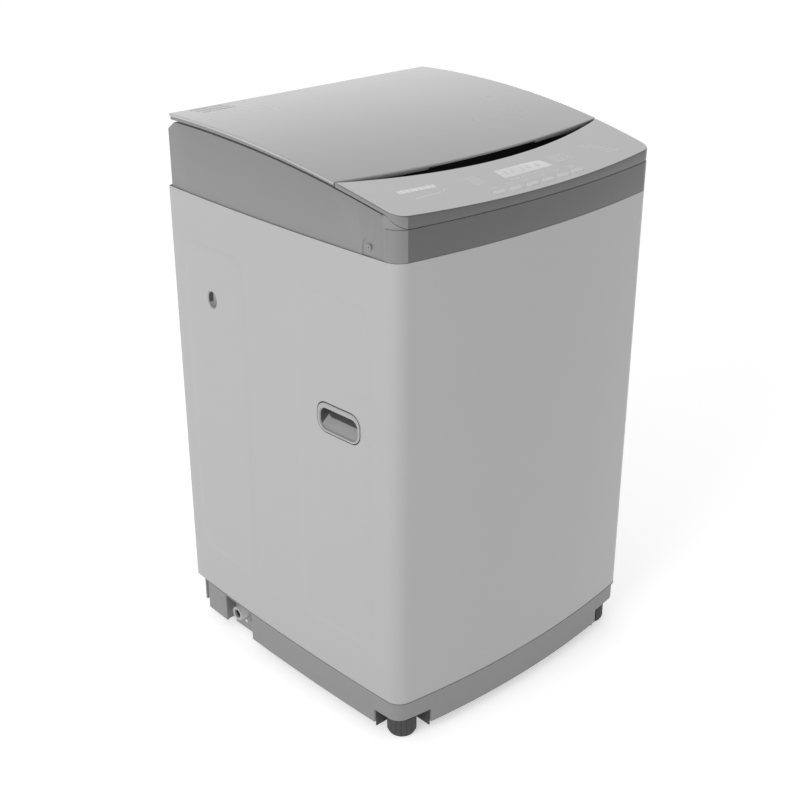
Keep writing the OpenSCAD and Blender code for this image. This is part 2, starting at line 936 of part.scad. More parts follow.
module spin_shaft() {
    color("silver") translate([0, ay, 0]) difference() {
        union() {
            translate([0, 0, 112]) cylinder(r = 17.5, h = 146);
            translate([0, 0, 112]) cylinder(r = 34, h = 24);
            translate([0, 0, 228]) cylinder(r = 60, h = 8);
        }
        translate([0, 0, 100]) cylinder(r = 9.05, h = 200);
        for (i = [0:5]) rotate([0, 0, i*60]) translate([48, 0, 220]) cylinder(r = 4, h = 20);
    }
}

module clutch_lever() {
    color("goldenrod") difference() {
        union() {
            translate([-70, 62, 116]) cylinder(r = 9, h = 71);
            // pawl arm beside the ratchet drum
            translate([0, 0, 117]) linear_extrude(7) polygon([[-74, 62], [-66, 62],
                [-38, -2], [-35, -4], [-35.2, -13], [-44, -13]]);
            // fork arm round the hook of the drain rod
            translate([0, 0, 180.5]) linear_extrude(6) polygon([[-75, 62], [-71, 66],
                [-74.5, 170], [-77.3, 170], [-77.3, 157], [-82.7, 157], [-82.7, 170],
                [-85.5, 170], [-83, 100]]);
        }
        translate([-70, 62, 110]) cylinder(r = 4.05, h = 90);
    }
}

// plunger, rod and hook of the drain valve
module drain_rod() {
    color("silver") {
        translate([-179.6, dy, 176]) rotate([0, 90, 0]) cylinder(r = 15, h = 5);
        translate([-176, dy, 176]) rotate([0, 90, 0]) cylinder(r = 3, h = 128);
        translate([-80, dy, 176]) cylinder(r = 2.2, h = 14);
    }
}

module drain_valve() {
    color("whitesmoke") difference() {
        union() {
            translate([-219, dy, 176]) rotate([0, 90, 0]) cylinder(r = 21, h = 94);
            translate([-150, dy, 176]) cylinder(r = 18, h = 39);
            translate([dx, dy, 140]) cylinder(r = 15, h = 36);
        }
        // chamber on each side of the valve seat
        translate([-216, dy, 176]) rotate([0, 90, 0]) cylinder(r = 18, h = 32);
        translate([-180, dy, 176]) rotate([0, 90, 0]) cylinder(r = 18, h = 50);
        translate([-190, dy, 176]) rotate([0, 90, 0]) cylinder(r = 10, h = 20);
        translate([-140, dy, 176]) rotate([0, 90, 0]) cylinder(r = 3.05, h = 40);
        translate([-150, dy, 176]) cylinder(r = 14, h = 60);
        translate([dx, dy, 130]) cylinder(r = 11, h = 40);
    }
}

module drain_actuator() {
    color("dimgray") difference() {
        union() {
            translate([-58, 140, 152]) cube([52, 46, 42]);
            translate([-50, 145, 190]) cube([12, 12, 6]);
            translate([-20, 170, 190]) cube([12, 12, 6]);
        }
        translate([-60, dy, 176]) rotate([0, 90, 0]) cylinder(r = 3.6, h = 40);
    }
}

// ---- basket ----

module basket_drum() {
    color("silver") translate([0, ay, 0]) difference() {
        translate([0, 0, 240]) ring(drum_r, drum_r - 0.8, 530);
        for (k = [0:4], i = [0:15]) rotate([0, 0, 11.25 + i*22.5 + (k % 2)*11.25])
            translate([drum_r - 6, 0, 320 + k*85]) rotate([0, 90, 0])
                cylinder(r = 4, h = 12, $fn = 12);
    }
}

module basket_base() {
    r1 = drum_r - 1.2;
    color("gainsboro") translate([0, ay, 0]) difference() {
        rotate_extrude($fn = 96) polygon([[17.6, 236], [64, 236], [66, 245], [puls_r + 6, 245],
            [puls_r + 14, 266], [r1 - 5, 268], [r1 - 5, 236], [r1, 236], [r1, 274],
            [puls_r + 15, 272], [puls_r + 10, 268], [puls_r + 4, 250], [52, 250], [40, 260],
            [17.6, 260]]);
        for (i = [0:11]) rotate([0, 0, i*30]) translate([130, 0, 230]) cylinder(r = 8, h = 30);
    }
}

module balance_ring() {
    color("whitesmoke") translate([0, ay, 0]) rotate_extrude($fn = 96)
        polygon([[205, 722], [210, 716], [drum_r - 1.2, 716], [drum_r - 1.2, 768],
            [240, 772], [210, 772], [205, 767]]);
}

module lint_filters() {
    color("white") translate([0, ay, 0]) for (a = [0, 180]) rotate([0, 0, a])
        intersection() {
            translate([228, -36, 420]) cube([40, 72, 190]);
            translate([0, 0, 400]) ring(drum_r - 1.9, drum_r - 14, 300);
        }
}

module pulsator() {
    color("gainsboro") translate([0, ay, 0]) difference() {
        union() {
            rotate_extrude($fn = 96) polygon([[0, 262], [24, 262], [26, 290], [38, 290],
                [68, 269], [puls_r - 12, 261], [puls_r - 6, 254], [puls_r, 254],
                [puls_r, 262], [puls_r - 10, 266], [70, 274], [42, 296], [24, 302], [0, 302]]);
            for (i = [0:vanes - 1]) rotate([0, 0, i*360/vanes]) {
                translate([36, -5, 264]) cube([puls_r - 52, 10, 24]);
                translate([puls_r - 16, 0, 264]) cylinder(r = 4.9, h = 24);
            }
        }
        translate([0, 0, 240]) cylinder(r = 9, h = 52);
    }
}

base_frame();
cabinet_shell();
rear_panel();
corner_braces();
rod_sockets();
suspension_rods();
top_cover();
deck_front_trim();
control_fascia();
display_window();
control_board();
hinge_bushes();
inlet_valve();
inlet_tube();
drawer_housing();
level_sensor();
side_handles();
side_port_cup();
drain_outlet();
lid_switch();
power_gland();
rear_feet();
case_screws();
suspension_springs();
drain_bellows();
pressure_tube();
foot_front_left();
foot_front_right();
outer_tub();
tub_cover_ring();
spring_cups();
mount_plate();
clutch_housing();
shaft_bearings();
tub_seal();
motor_body();
drive_belt();
drain_valve();
drain_actuator();
basket_drum();
basket_base();
balance_ring();
spin_shaft();
lint_filters();
pulsator();
wash_shaft();
drive_pulley();
motor_rotor();
clutch_lever();
drain_rod();
detergent_drawer();
lid_panel();
lid_frame();
lid_bumpers();
button_program();
button_level();
button_wash();
button_rinse();
button_delay();
button_start();
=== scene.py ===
import json
import math

import bmesh
import bpy
from mathutils import Matrix, Vector


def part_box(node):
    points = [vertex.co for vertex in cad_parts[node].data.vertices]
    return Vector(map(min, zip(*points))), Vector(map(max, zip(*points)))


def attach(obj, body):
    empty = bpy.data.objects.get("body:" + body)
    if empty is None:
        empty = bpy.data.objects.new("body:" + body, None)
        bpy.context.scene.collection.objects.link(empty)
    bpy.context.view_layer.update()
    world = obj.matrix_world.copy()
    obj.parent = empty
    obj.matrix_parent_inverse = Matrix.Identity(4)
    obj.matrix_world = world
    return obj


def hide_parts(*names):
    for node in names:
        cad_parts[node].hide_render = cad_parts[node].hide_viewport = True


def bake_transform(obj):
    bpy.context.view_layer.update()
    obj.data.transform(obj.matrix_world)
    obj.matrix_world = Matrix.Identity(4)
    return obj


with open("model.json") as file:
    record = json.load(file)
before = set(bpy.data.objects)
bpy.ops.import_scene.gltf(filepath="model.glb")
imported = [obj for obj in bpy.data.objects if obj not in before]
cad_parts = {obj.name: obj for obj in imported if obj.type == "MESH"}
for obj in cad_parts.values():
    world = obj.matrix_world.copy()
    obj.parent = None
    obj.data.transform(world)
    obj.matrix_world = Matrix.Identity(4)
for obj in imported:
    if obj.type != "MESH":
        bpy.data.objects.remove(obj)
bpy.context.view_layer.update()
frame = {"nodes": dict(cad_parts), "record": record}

MM = 0.001
SIDE_NAME = {-1: "left", 1: "right"}


# ---- the plan of the cabinet, worked out from the frame ----

def low(node):
    return Vector(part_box(node)[0])


def high(node):
    return Vector(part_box(node)[1])


HALF = high("lid_panel").x - 0.5 * MM       # half width at the widest point of the bowed sides
FRONT = low("deck_front_trim").y            # front apex
REAR = high("cabinet_shell").y              # rear sheet plane
BOW_SIDE, BOW_FRONT, CORNER = 8 * MM, 25 * MM, 28 * MM
Y_CORNER = FRONT + BOW_FRONT
Y_MID = (REAR + Y_CORNER) / 2
HALF_LEN = (REAR - Y_CORNER) / 2
R_SIDE = (HALF_LEN ** 2 + BOW_SIDE ** 2) / (2 * BOW_SIDE)
R_FRONT = ((HALF - BOW_SIDE) ** 2 + BOW_FRONT ** 2) / (2 * BOW_FRONT)
C_SIDE = Vector((R_SIDE - HALF, Y_MID))
C_FRONT = Vector((0, FRONT + R_FRONT))

Z_CABINET = low("cabinet_shell").z
Z_DECK = high("cabinet_shell").z
Z_LIP = high("deck_front_trim").z + 0.5 * MM
TOP_R = 2.0                                 # radius of the curved top
TOP_Y = 190 * MM                            # where it is highest
TOP_Z = high("lid_panel").z
MID_X = 0.24                                # the middle of the front, drawn in even steps
CORNER_CUT = -0.262                         # last cut before the corner, in X and in Y


def meet(a, ra, b, rb):
    """The point nearer the front where two circles cross."""
    v = b - a
    d = v.length
    t = (ra * ra - rb * rb + d * d) / (2 * d)
    h = math.sqrt(ra * ra - t * t)
    u = v / d
    n = Vector((-u.y, u.x))
    p, q = a + t * u + h * n, a + t * u - h * n
    return p if p.y < q.y else q


C_CORNER = meet(C_SIDE, R_SIDE - CORNER, C_FRONT, R_FRONT - CORNER)
U_SIDE = (C_CORNER - C_SIDE).normalized()
U_FRONT = (C_CORNER - C_FRONT).normalized()


def top(y):
    """Height of the curved top surface."""
    return TOP_Z - TOP_R + math.sqrt(TOP_R ** 2 - (y - TOP_Y) ** 2)


def thin(y):
    """How much nearer to the top surface the joint line lies towards the front."""
    return 4 * MM * max(0.0, min(1.0, (117 * MM - y) / (383 * MM)))


def side_x(y, o=0.0):
    return HALF - R_SIDE + math.sqrt((R_SIDE - o) ** 2 - (y - Y_MID) ** 2)


def front_y(x, o):
    return C_FRONT.y - math.sqrt((R_FRONT - o) ** 2 - x * x)


def spread(a, b, n):
    return [a + (b - a) * i / n for i in range(n + 1)]


def half_plan(o, ys, xs, n):
    """Left half of the plan, from the rear to the front's middle, as (point, outward normal)."""
    out = []
    y_end = (C_CORNER + U_SIDE * (CORNER - o)).y
    x_end = (C_CORNER + U_FRONT * (CORNER - o)).x
    for y in ys:
        if y > y_end + 0.5 * MM:
            p = Vector((-side_x(y, o), y))
            out.append((p, (p - C_SIDE).normalized()))
    a0 = math.atan2(U_SIDE.y, U_SIDE.x) % (2 * math.pi)
    a1 = math.atan2(U_FRONT.y, U_FRONT.x) % (2 * math.pi)
    for a in spread(a0, a1, n):
        u = Vector((math.cos(a), math.sin(a)))
        out.append((C_CORNER + u * (CORNER - o), u))
    for x in xs:
        if x > x_end + 0.5 * MM:
            p = Vector((x, front_y(x, o)))
            out.append((p, (p - C_FRONT).normalized()))
    return out


def whole_plan(o, ys, xs, n=12):
    """The plan from the left rear round the front to the right rear; xs run from minus to 0."""
    left = half_plan(o, ys, xs, n)
    right = [(Vector((-p.x, p.y)), Vector((-u.x, u.y))) for p, u in reversed(left) if p.x < -1e-6]
    return left + right


# ---- meshes ----

def new_object(name, bm, smooth=True):
    me = bpy.data.meshes.new(name)
    bm.normal_update()
    bm.to_mesh(me)
    bm.free()
    o = bpy.data.objects.new(name, me)
    bpy.context.scene.collection.objects.link(o)
    if smooth:
        for p in me.polygons:
            p.use_smooth = True
    return o


def sharpen(o, degrees):
    """Smooth shading with sharp edges above an angle."""
    bm = bmesh.new()
    bm.from_mesh(o.data)
    for e in bm.edges:
        if len(e.link_faces) == 2:
            e.smooth = e.calc_face_angle(0) < math.radians(degrees)
    for f in bm.faces:
        f.smooth = True
    bm.to_mesh(o.data)
    bm.free()
    return o


def outward(bm):
    bmesh.ops.recalc_face_normals(bm, faces=bm.faces)


def add_ring(bm, points):
    return [bm.verts.new(p) for p in points]


def join_rings(bm, a, b, closed=True):
    n = len(a)
    faces = []
    for i in range(n if closed else n - 1):
        j = (i + 1) % n
        faces.append(bm.faces.new((a[i], a[j], b[j], b[i])))
    return faces


def loft(bm, rings, closed=True):
    for a, b in zip(rings, rings[1:]):
        join_rings(bm, a, b, closed)


def apply_modifiers(o):
    dg = bpy.context.evaluated_depsgraph_get()
    me = bpy.data.meshes.new_from_object(o.evaluated_get(dg))
    o.modifiers.clear()
    old = o.data
    o.data = me
    bpy.data.meshes.remove(old)
    return o


def carve(o, cutter):
    """Takes the cutter's space out of o and removes the cutter."""
    m = o.modifiers.new("cut", "BOOLEAN")
    m.operation = "DIFFERENCE"
    m.solver = "EXACT"
    m.object = cutter
    apply_modifiers(o)
    bpy.data.objects.remove(cutter)
    return o


def rounded(w, h, r, n=8):
    """Rounded rectangle round the origin, counter-clockwise."""
    out = []
    for k, (sx, sy) in enumerate(((1, 1), (-1, 1), (-1, -1), (1, -1))):
        for a in spread(k * math.pi / 2, (k + 1) * math.pi / 2, n):
            out.append(Vector((sx * (w / 2 - r) + r * math.cos(a), sy * (h / 2 - r) + r * math.sin(a))))
    return out


def softened(node, width):
    """The CAD node's own shape with its sharp edges rounded."""
    bm = bmesh.new()
    bm.from_mesh(frame["nodes"][node].data)
    bmesh.ops.remove_doubles(bm, verts=bm.verts, dist=2e-6)
    bmesh.ops.dissolve_limit(bm, angle_limit=math.radians(0.4), verts=bm.verts, edges=bm.edges)
    o = new_object(node + "_form", bm)
    b = o.modifiers.new("round", "BEVEL")
    b.width = width
    b.segments = 2
    b.limit_method = "ANGLE"
    b.angle_limit = math.radians(30)
    b.use_clamp_overlap = True
    b.miter_outer = "MITER_ARC"
    apply_modifiers(o)
    sharpen(o, 50)
    return o


# ---- materials ----

def material(name, colour, rough, mottle, bump, metal=0.0, coat=0.0, grain=220.0,
             bump_scale=900.0, rough_var=0.08, wear=0.0, spec=0.5, brushed=None):
    """Plain colour broken up by soft mottling, with a fine surface texture and lighter worn edges."""
    m = bpy.data.materials.new(name)
    m.use_nodes = True
    t = m.node_tree
    t.nodes.clear()
    out = t.nodes.new("ShaderNodeOutputMaterial")
    sh = t.nodes.new("ShaderNodeBsdfPrincipled")
    t.links.new(sh.outputs[0], out.inputs[0])
    sh.inputs["Metallic"].default_value = metal
    sh.inputs["Specular IOR Level"].default_value = spec
    sh.inputs["Coat Weight"].default_value = coat
    sh.inputs["Coat Roughness"].default_value = 0.12
    co = t.nodes.new("ShaderNodeTexCoord")
    mp = t.nodes.new("ShaderNodeMapping")
    t.links.new(co.outputs["Object"], mp.inputs[0])
    if brushed:
        mp.inputs["Scale"].default_value = brushed
    big = t.nodes.new("ShaderNodeTexNoise")
    big.inputs["Scale"].default_value = grain / 30
    big.inputs["Detail"].default_value = 4
    t.links.new(mp.outputs[0], big.inputs["Vector"])
    fine = t.nodes.new("ShaderNodeTexNoise")
    fine.inputs["Scale"].default_value = bump_scale
    fine.inputs["Detail"].default_value = 2
    t.links.new(mp.outputs[0], fine.inputs["Vector"])
    # colour
    ramp = t.nodes.new("ShaderNodeValToRGB")
    a, b = ramp.color_ramp.elements
    a.position, b.position = 0.15, 0.85
    a.color = [c * (1 - mottle) for c in colour[:3]] + [1]
    b.color = [min(1, c * (1 + mottle)) for c in colour[:3]] + [1]
    t.links.new(big.outputs["Fac"], ramp.inputs[0])
    last = ramp.outputs[0]
    if wear:
        geo = t.nodes.new("ShaderNodeNewGeometry")
        edge = t.nodes.new("ShaderNodeMapRange")
        edge.inputs["From Min"].default_value = 0.52
        edge.inputs["From Max"].default_value = 0.62
        edge.inputs["To Max"].default_value = wear
        t.links.new(geo.outputs["Pointiness"], edge.inputs["Value"])
        mix = t.nodes.new("ShaderNodeMix")
        mix.data_type = "RGBA"
        mix.inputs["B"].default_value = [min(1, c * 1.25 + 0.03) for c in colour[:3]] + [1]
        t.links.new(edge.outputs[0], mix.inputs["Factor"])
        t.links.new(last, mix.inputs["A"])
        last = mix.outputs["Result"]
    t.links.new(last, sh.inputs["Base Color"])
    # gloss
    rr = t.nodes.new("ShaderNodeMapRange")
    rr.inputs["To Min"].default_value = max(0.02, rough - rough_var)
    rr.inputs["To Max"].default_value = min(1, rough + rough_var)
    t.links.new(big.outputs["Fac"], rr.inputs["Value"])
    t.links.new(rr.outputs[0], sh.inputs["Roughness"])
    # relief
    bp = t.nodes.new("ShaderNodeBump")
    bp.inputs["Strength"].default_value = bump
    bp.inputs["Distance"].default_value = 0.0004
    t.links.new(fine.outputs["Fac"], bp.inputs["Height"])
    t.links.new(bp.outputs[0], sh.inputs["Normal"])
    return m


def grey(v):
    """Linear grey from an sRGB level of 0 to 255."""
    s = v / 255
    g = s / 12.92 if s <= 0.04045 else ((s + 0.055) / 1.055) ** 2.4
    return (g, g, g)


MATS = {name: material(name, grey(level), rough, **more) for name, level, rough, more in (
    ("enamel", 156, 0.38, dict(coat=0.25, bump=0.05, bump_scale=700, mottle=0.012)),
    ("deck", 117, 0.42, dict(bump=0.10, bump_scale=1500, mottle=0.02, wear=0.2)),
    ("trim", 84, 0.34, dict(bump=0.06, bump_scale=1500, mottle=0.02, wear=0.15)),
    ("film", 203, 0.36, dict(coat=0.15, bump=0.03, bump_scale=1200, mottle=0.01)),
    ("lid", 156, 0.28, dict(coat=1.0, bump=0.02, bump_scale=1200, mottle=0.006, rough_var=0.02)),
    # painted_shade: near-black that stands for the deep shadow in gaps, slots, the finger recess and the
    # drain bore
    ("painted_shade", 24, 0.7, dict(bump=0.2, bump_scale=1500, mottle=0.1, spec=0.2)),
    ("base", 122, 0.5, dict(bump=0.12, bump_scale=1300, mottle=0.03, wear=0.2)),
    ("foot", 52, 0.6, dict(bump=0.25, bump_scale=1500, mottle=0.08, wear=0.3)),
    ("rubber", 38, 0.75, dict(bump=0.25, bump_scale=2200, mottle=0.1, spec=0.3)),
    ("black", 46, 0.5, dict(bump=0.15, bump_scale=1800, mottle=0.06)),
    ("grip", 150, 0.42, dict(bump=0.10, bump_scale=1800, mottle=0.02, wear=0.3)),
    # grip_deep: the grip plastic darkened as painted shade, for the shaded insides of pockets and the
    # walls round the feet
    ("grip_deep", 70, 0.5, dict(bump=0.12, bump_scale=1800, mottle=0.04)),
    ("white", 226, 0.5, dict(bump=0.08, bump_scale=1500, mottle=0.02)),
    ("tub", 214, 0.55, dict(bump=0.12, bump_scale=900, mottle=0.03)),
    ("light", 214, 0.32, dict(coat=0.2, bump=0.04, bump_scale=1200, mottle=0.015)),
    ("pipe", 196, 0.5, dict(bump=0.1, bump_scale=1500, mottle=0.03)),
    ("key", 214, 0.3, dict(coat=0.2, bump=0.03, bump_scale=1500, mottle=0.01)),
    ("mark", 246, 0.45, dict(bump=0.02, mottle=0.01)),
    ("mark_soft", 222, 0.45, dict(bump=0.02, mottle=0.01)),
    ("mark_faint", 184, 0.45, dict(bump=0.02, mottle=0.01)),
    ("window", 232, 0.16, dict(coat=0.4, bump=0.01, mottle=0.02)),
    ("screw", 140, 0.45, dict(metal=0.5, bump=0.1, mottle=0.05)),
    ("zinc", 190, 0.38, dict(metal=0.9, grain=900, mottle=0.12, bump=0.08, rough_var=0.15)),
    ("plated", 205, 0.22, dict(metal=1.0, bump=0.05, mottle=0.05)),
    ("basket", 205, 0.28, dict(metal=1.0, bump=0.12, bump_scale=500, mottle=0.04, rough_var=0.12,
                               brushed=(1, 1, 30))),
    ("cast", 184, 0.5, dict(metal=0.85, bump=0.4, bump_scale=700, mottle=0.08, wear=0.3)),
    ("ground", 190, 0.25, dict(metal=1.0, bump=0.08, mottle=0.05, brushed=(1, 1, 20))),
    ("motor", 64, 0.45, dict(metal=0.4, bump=0.2, bump_scale=800, mottle=0.1, wear=0.4)),
    ("spring", 120, 0.35, dict(metal=0.9, bump=0.15, mottle=0.1)),
)}
MATS["board"] = material("board", (0.02, 0.11, 0.045), 0.4, coat=0.3, bump=0.1, mottle=0.15)

BY_SLOT = {
    "base_plastic": "base", "cabinet_enamel": "enamel", "galvanised_sheet": "zinc",
    "white_nylon": "white", "plated_rod": "plated", "deck_plastic": "deck",
    "fascia_plastic": "film", "display_glass": "window", "board_laminate": "board",
    "light_plastic": "light", "black_plastic": "black", "grip_plastic": "grip",
    "grey_plastic": "pipe", "foot_rubber": "rubber", "foot_plastic": "foot",
    "spring_steel": "spring", "black_rubber": "rubber", "tub_plastic": "tub",
    "cast_aluminium": "cast", "bearing_steel": "ground", "motor_iron": "motor",
    "basket_steel": "basket", "lid_plastic": "lid", "key_plastic": "key",
}
SLOT_OF = {p["node"]: p["material_slot"] for p in frame["record"]["subparts"]}


def paint(o, *names):
    """Gives the object its materials and keeps each face's choice among them."""
    kept = [p.material_index for p in o.data.polygons]
    o.data.materials.clear()
    for n in names:
        o.data.materials.append(MATS[n])
    for p, k in zip(o.data.polygons, kept):
        p.material_index = min(k, len(names) - 1)


for node, o in frame["nodes"].items():
    name = BY_SLOT[SLOT_OF[node]]
    for s in o.material_slots:
        s.material = MATS[name]
    if not o.material_slots:
        o.data.materials.append(MATS[name])


def place(o, body, mat, *nodes):
    """Gives a piece its body and its materials, and hides the CAD nodes it stands for."""
    paint(o, *(mat if isinstance(mat, tuple) else (mat,)))
    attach(o, body)
    if nodes:
        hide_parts(*nodes)
    return o


BODY_OF = {n: b for b, ns in frame["record"]["behaviour"]["bodies"].items() for n in ns}


# ---- cabinet ----

SHEET = 1 * MM                              # thickness of the sheet steel
SHEET_DROP = 3.8 * MM                       # how far it reaches over the base
LEDGE_DROP = 7.1 * MM                       # foot of the base's ledge, below the sheet's CAD edge
LEDGE_H = 2.4                               # its height in mm
PRESS = 0.7 * MM                            # how far the fields on the sides stand out
PRESS_EDGE = 14 * MM                        # width of the slope round a field
FIELDS = ((-138 * MM, 468 * MM), (163 * MM, 468 * MM))
FIELD_W, FIELD_H, FIELD_R = 164 * MM, 592 * MM, 30 * MM
GRIP = (-151 * MM, 558 * MM)                # centres in Y and Z
PORT = (169 * MM, 673 * MM)


def field_rise(y, z):
    """How far the pressed fields lift the side sheet at a point."""
    rise = 0
    for cy, cz in FIELDS:
        qy = abs(y - cy) - (FIELD_W / 2 - FIELD_R)
        qz = abs(z - cz) - (FIELD_H / 2 - FIELD_R)
        d = math.hypot(max(qy, 0), max(qz, 0)) + min(max(qy, qz), 0) - FIELD_R
        t = min(1, max(0, 0.5 - d / PRESS_EDGE))
        rise = max(rise, t * t * (3 - 2 * t))
    return PRESS * rise


def grid_lines(a, b, edges, coarse):
    """Positions from a to b, close together at the edges of the fields."""
    out = set(round(v, 5) for v in spread(a, b, max(1, round((b - a) / coarse))))
    for e, inward in edges:
        out |= {round(e + k * 1.5 * MM, 5) for k in range(-4, 5)}
        out |= {round(e + inward * k * 5 * MM, 5) for k in range(1, 7)}
    return sorted({a, b} | {v for v in out if a + 0.2 * MM < v < b - 0.2 * MM})


def cabinet():
    y_edges = [(c + s * FIELD_W / 2, -s) for c, _ in FIELDS for s in (-1, 1)]
    z_edges = [(FIELDS[0][1] + s * FIELD_H / 2, -s) for s in (-1, 1)]
    ys = grid_lines(-0.27, REAR - 3 * MM, y_edges, 16 * MM)[::-1]
    zs = grid_lines(Z_CABINET - SHEET_DROP, Z_DECK, z_edges, 18 * MM)
    xs = spread(-(HALF - BOW_SIDE), 0, 24)
    plan = whole_plan(0, ys, xs, 14)
    xr = side_x(REAR)
    turn = [(Vector((-xr + 3 * MM - 3 * MM * math.sin(a), REAR - 3 * MM + 3 * MM * math.cos(a))), None)
            for a in spread(0, math.pi / 2, 5)]
    flange = [(Vector((-0.264, REAR)), None)] + turn[:-1]
    plan = flange + plan + [(Vector((-p.x, p.y)), None) for p, _ in reversed(flange)]
    bm = bmesh.new()
    rings = []
    for z in zs:
        ring = []
        for p, u in plan:
            q = p
            if u is not None and abs(u.x) > 0.95:
                q = p + u * field_rise(p.y, z)
            ring.append(Vector((q.x, q.y, z)))
        rings.append(add_ring(bm, ring))
    loft(bm, rings, closed=False)
    o = new_object("cabinet_form", bm)
    s = o.modifiers.new("sheet", "SOLIDIFY")
    s.thickness = SHEET
    s.offset = -1
    apply_modifiers(o)
    for sx in (-1, 1):
        hole = rounded(99.6 * MM, 53.6 * MM, 20.8 * MM)
        carve(o, prism_x("grip_hole", hole, GRIP, sx * 0.32, sx * 0.26))
    carve(o, prism_x("port_hole", rounded(26.6 * MM, 31.2 * MM, 13.1 * MM), PORT, -0.32, -0.26))
    sharpen(o, 30)
    place(o, "cabinet", "enamel", "cabinet_shell")


def prism_x(name, loop, centre, x0, x1):
    """Closed prism along X; the loop is drawn in Y and Z round the centre."""
    bm = bmesh.new()
    a, b = (add_ring(bm, [Vector((x, centre[0] + p.x, centre[1] + p.y)) for p in loop])
            for x in sorted((x0, x1)))
    join_rings(bm, a, b)
    bm.faces.new(a[::-1])
    bm.faces.new(b)
    outward(bm)
    return new_object(name, bm, smooth=False)


def loft_x(name, rings, side, cap=True, thickness=0):
    """Nested rings of (depth, width, height, radius, rise, centre) sunk into a side wall."""
    bm = bmesh.new()
    made = []
    for d, w, h, r, rise, centre in rings:
        pts = []
        for p in rounded(w, h, r):
            y, z = centre[0] + p.x, centre[1] + rise + p.y
            x = side_x(y) + PRESS - d
            pts.append(Vector((side * x, y, z)))
        made.append(add_ring(bm, pts))
    loft(bm, made)
    if cap:
        bm.faces.new(made[-1])
    else:
        bmesh.ops.remove_doubles(bm, verts=bm.verts, dist=1e-6)
    outward(bm)
    bm.faces.ensure_lookup_table()
    bm.normal_update()
    if cap and bm.faces[-1].normal.x * side < 0:
        bmesh.ops.reverse_faces(bm, faces=bm.faces)
    o = new_object(name, bm)
    if thickness:
        s = o.modifiers.new("wall", "SOLIDIFY")
        s.thickness = thickness
        s.offset = -1
        apply_modifiers(o)
    return o


def pocket_shade(o, side, depth, deep=1):
    """Painted shade: the darker second material on the deepest part of a pocket and on its walls that
    face away from the light.
    """
    for f in o.data.polygons:
        d = side_x(f.center.y) + PRESS - side * f.center.x
        if d > deep or d > depth and f.normal.z < 0.45 and abs(f.normal.x) < 0.93:
            f.material_index = 1


def grips():
    for side in (-1, 1):
        rings = [(2.6, 95.6, 49.6, 18.8, 0), (-0.7, 95.6, 49.6, 18.8, 0), (-1.05, 94.8, 48.8, 18.4, 0),
                 (-1.2, 93.4, 47.4, 17.7, 0), (-1.3, 90.4, 41.4, 15.6, -1.8),
                 (-0.9, 88.4, 38.6, 14.8, -2.3), (0.2, 86.8, 36.8, 14.2, -2.6), (2.2, 86, 36, 14, -2.7)]
        for d in spread(3.5, 29, 10):
            bottom = -20.7 + max(0, d - 2.5)
            h = 15.3 - bottom
            rings.append((d, 86.4 - 0.2 * d, h, min(14.5 - 0.3 * d, h / 2 - 1), (15.3 + bottom) / 2))
        d, w, h, r, c = rings[-1]
        rings.append((d + 1.6, w - 4, h - 4, r - 2, c))
        rings = [(d * MM, w * MM, h * MM, r * MM, c * MM, GRIP) for d, w, h, r, c in rings]
        o = loft_x("grip_%s" % SIDE_NAME[side], rings, side, thickness=1.4 * MM)
        sharpen(o, 50)
        # The deep part and back walls of the grip's pocket get painted shade.
        pocket_shade(o, side, 2.5 * MM, 17 * MM)
        place(o, "cabinet", ("grip", "grip_deep"), "side_handles")
        # A ring of painted shade fills the gap round the grip's rim, standing for its shadow.
        gap = [(d * MM, w * MM, h * MM, r * MM, 0, GRIP) for d, w, h, r in
               ((1.8, 104, 58, 23), (1.2, 104, 58, 23), (1.2, 94, 48, 18), (1.8, 94, 48, 18))]
        o = loft_x("grip_gap_%s" % SIDE_NAME[side], gap + gap[:1], side, cap=False)
        place(o, "cabinet", "painted_shade")


def port():
    rings = [(2.0, 26, 30.6, 12.8), (0.3, 26, 30.6, 12.8), (-0.25, 25.4, 30, 12.5), (-0.3, 24.4, 29, 12),
             (0.3, 23.2, 27.8, 11.4), (1.6, 22.6, 27.2, 11.1), (8.6, 21.8, 26.4, 10.7),
             (9.3, 20.4, 25, 10), (9.5, 12, 16, 6), (9.5, 11, 15, 5.5)]
    rings = [(d * MM, w * MM, h * MM, r * MM, 0, PORT) for d, w, h, r in rings]
    o = loft_x("port_cup", rings, -1, thickness=1.2 * MM)
    carve(o, prism_x("hole", rounded(7 * MM, 7 * MM, 3.49 * MM), (PORT[0] + 1 * MM, PORT[1] - 8 * MM),
                     -0.31, -0.27))
    sharpen(o, 50)
    # The back wall and deep part of the port's cup get painted shade.
    pocket_shade(o, -1, 1.2 * MM)
    place(o, "cabinet", ("grip", "grip_deep"), "side_port_cup")


# ---- top ----

def loop_normals(loop):
    """Outward 2D normals of a counter-clockwise loop."""
    n = len(loop)
    out = []
    for i in range(n):
        t = (loop[(i + 1) % n] - loop[i]).normalized() + (loop[i] - loop[i - 1]).normalized()
        t.normalize()
        out.append(Vector((t.y, -t.x)))
    return out


def cap_to_spine(bm, ring, spine, height, levels, flip=False):
    """Closes a ring with a surface that runs to the spine's points, every point on the given height."""
    prev = ring
    n = len(ring)
    for k in range(1, levels + 1):
        t = k / levels
        pts = []
        for v, s in zip(ring, spine):
            x, y = v.co.x + (s[0] - v.co.x) * t, v.co.y + (s[1] - v.co.y) * t
            pts.append(Vector((x, y, height(y))))
        cur = add_ring(bm, pts)
        for i in range(n):
            j = (i + 1) % n
            quad = [prev[i], prev[j], cur[j], cur[i]]
            bm.faces.new(quad[::-1] if flip else quad)
        prev = cur
    bmesh.ops.remove_doubles(bm, verts=prev, dist=1e-5)


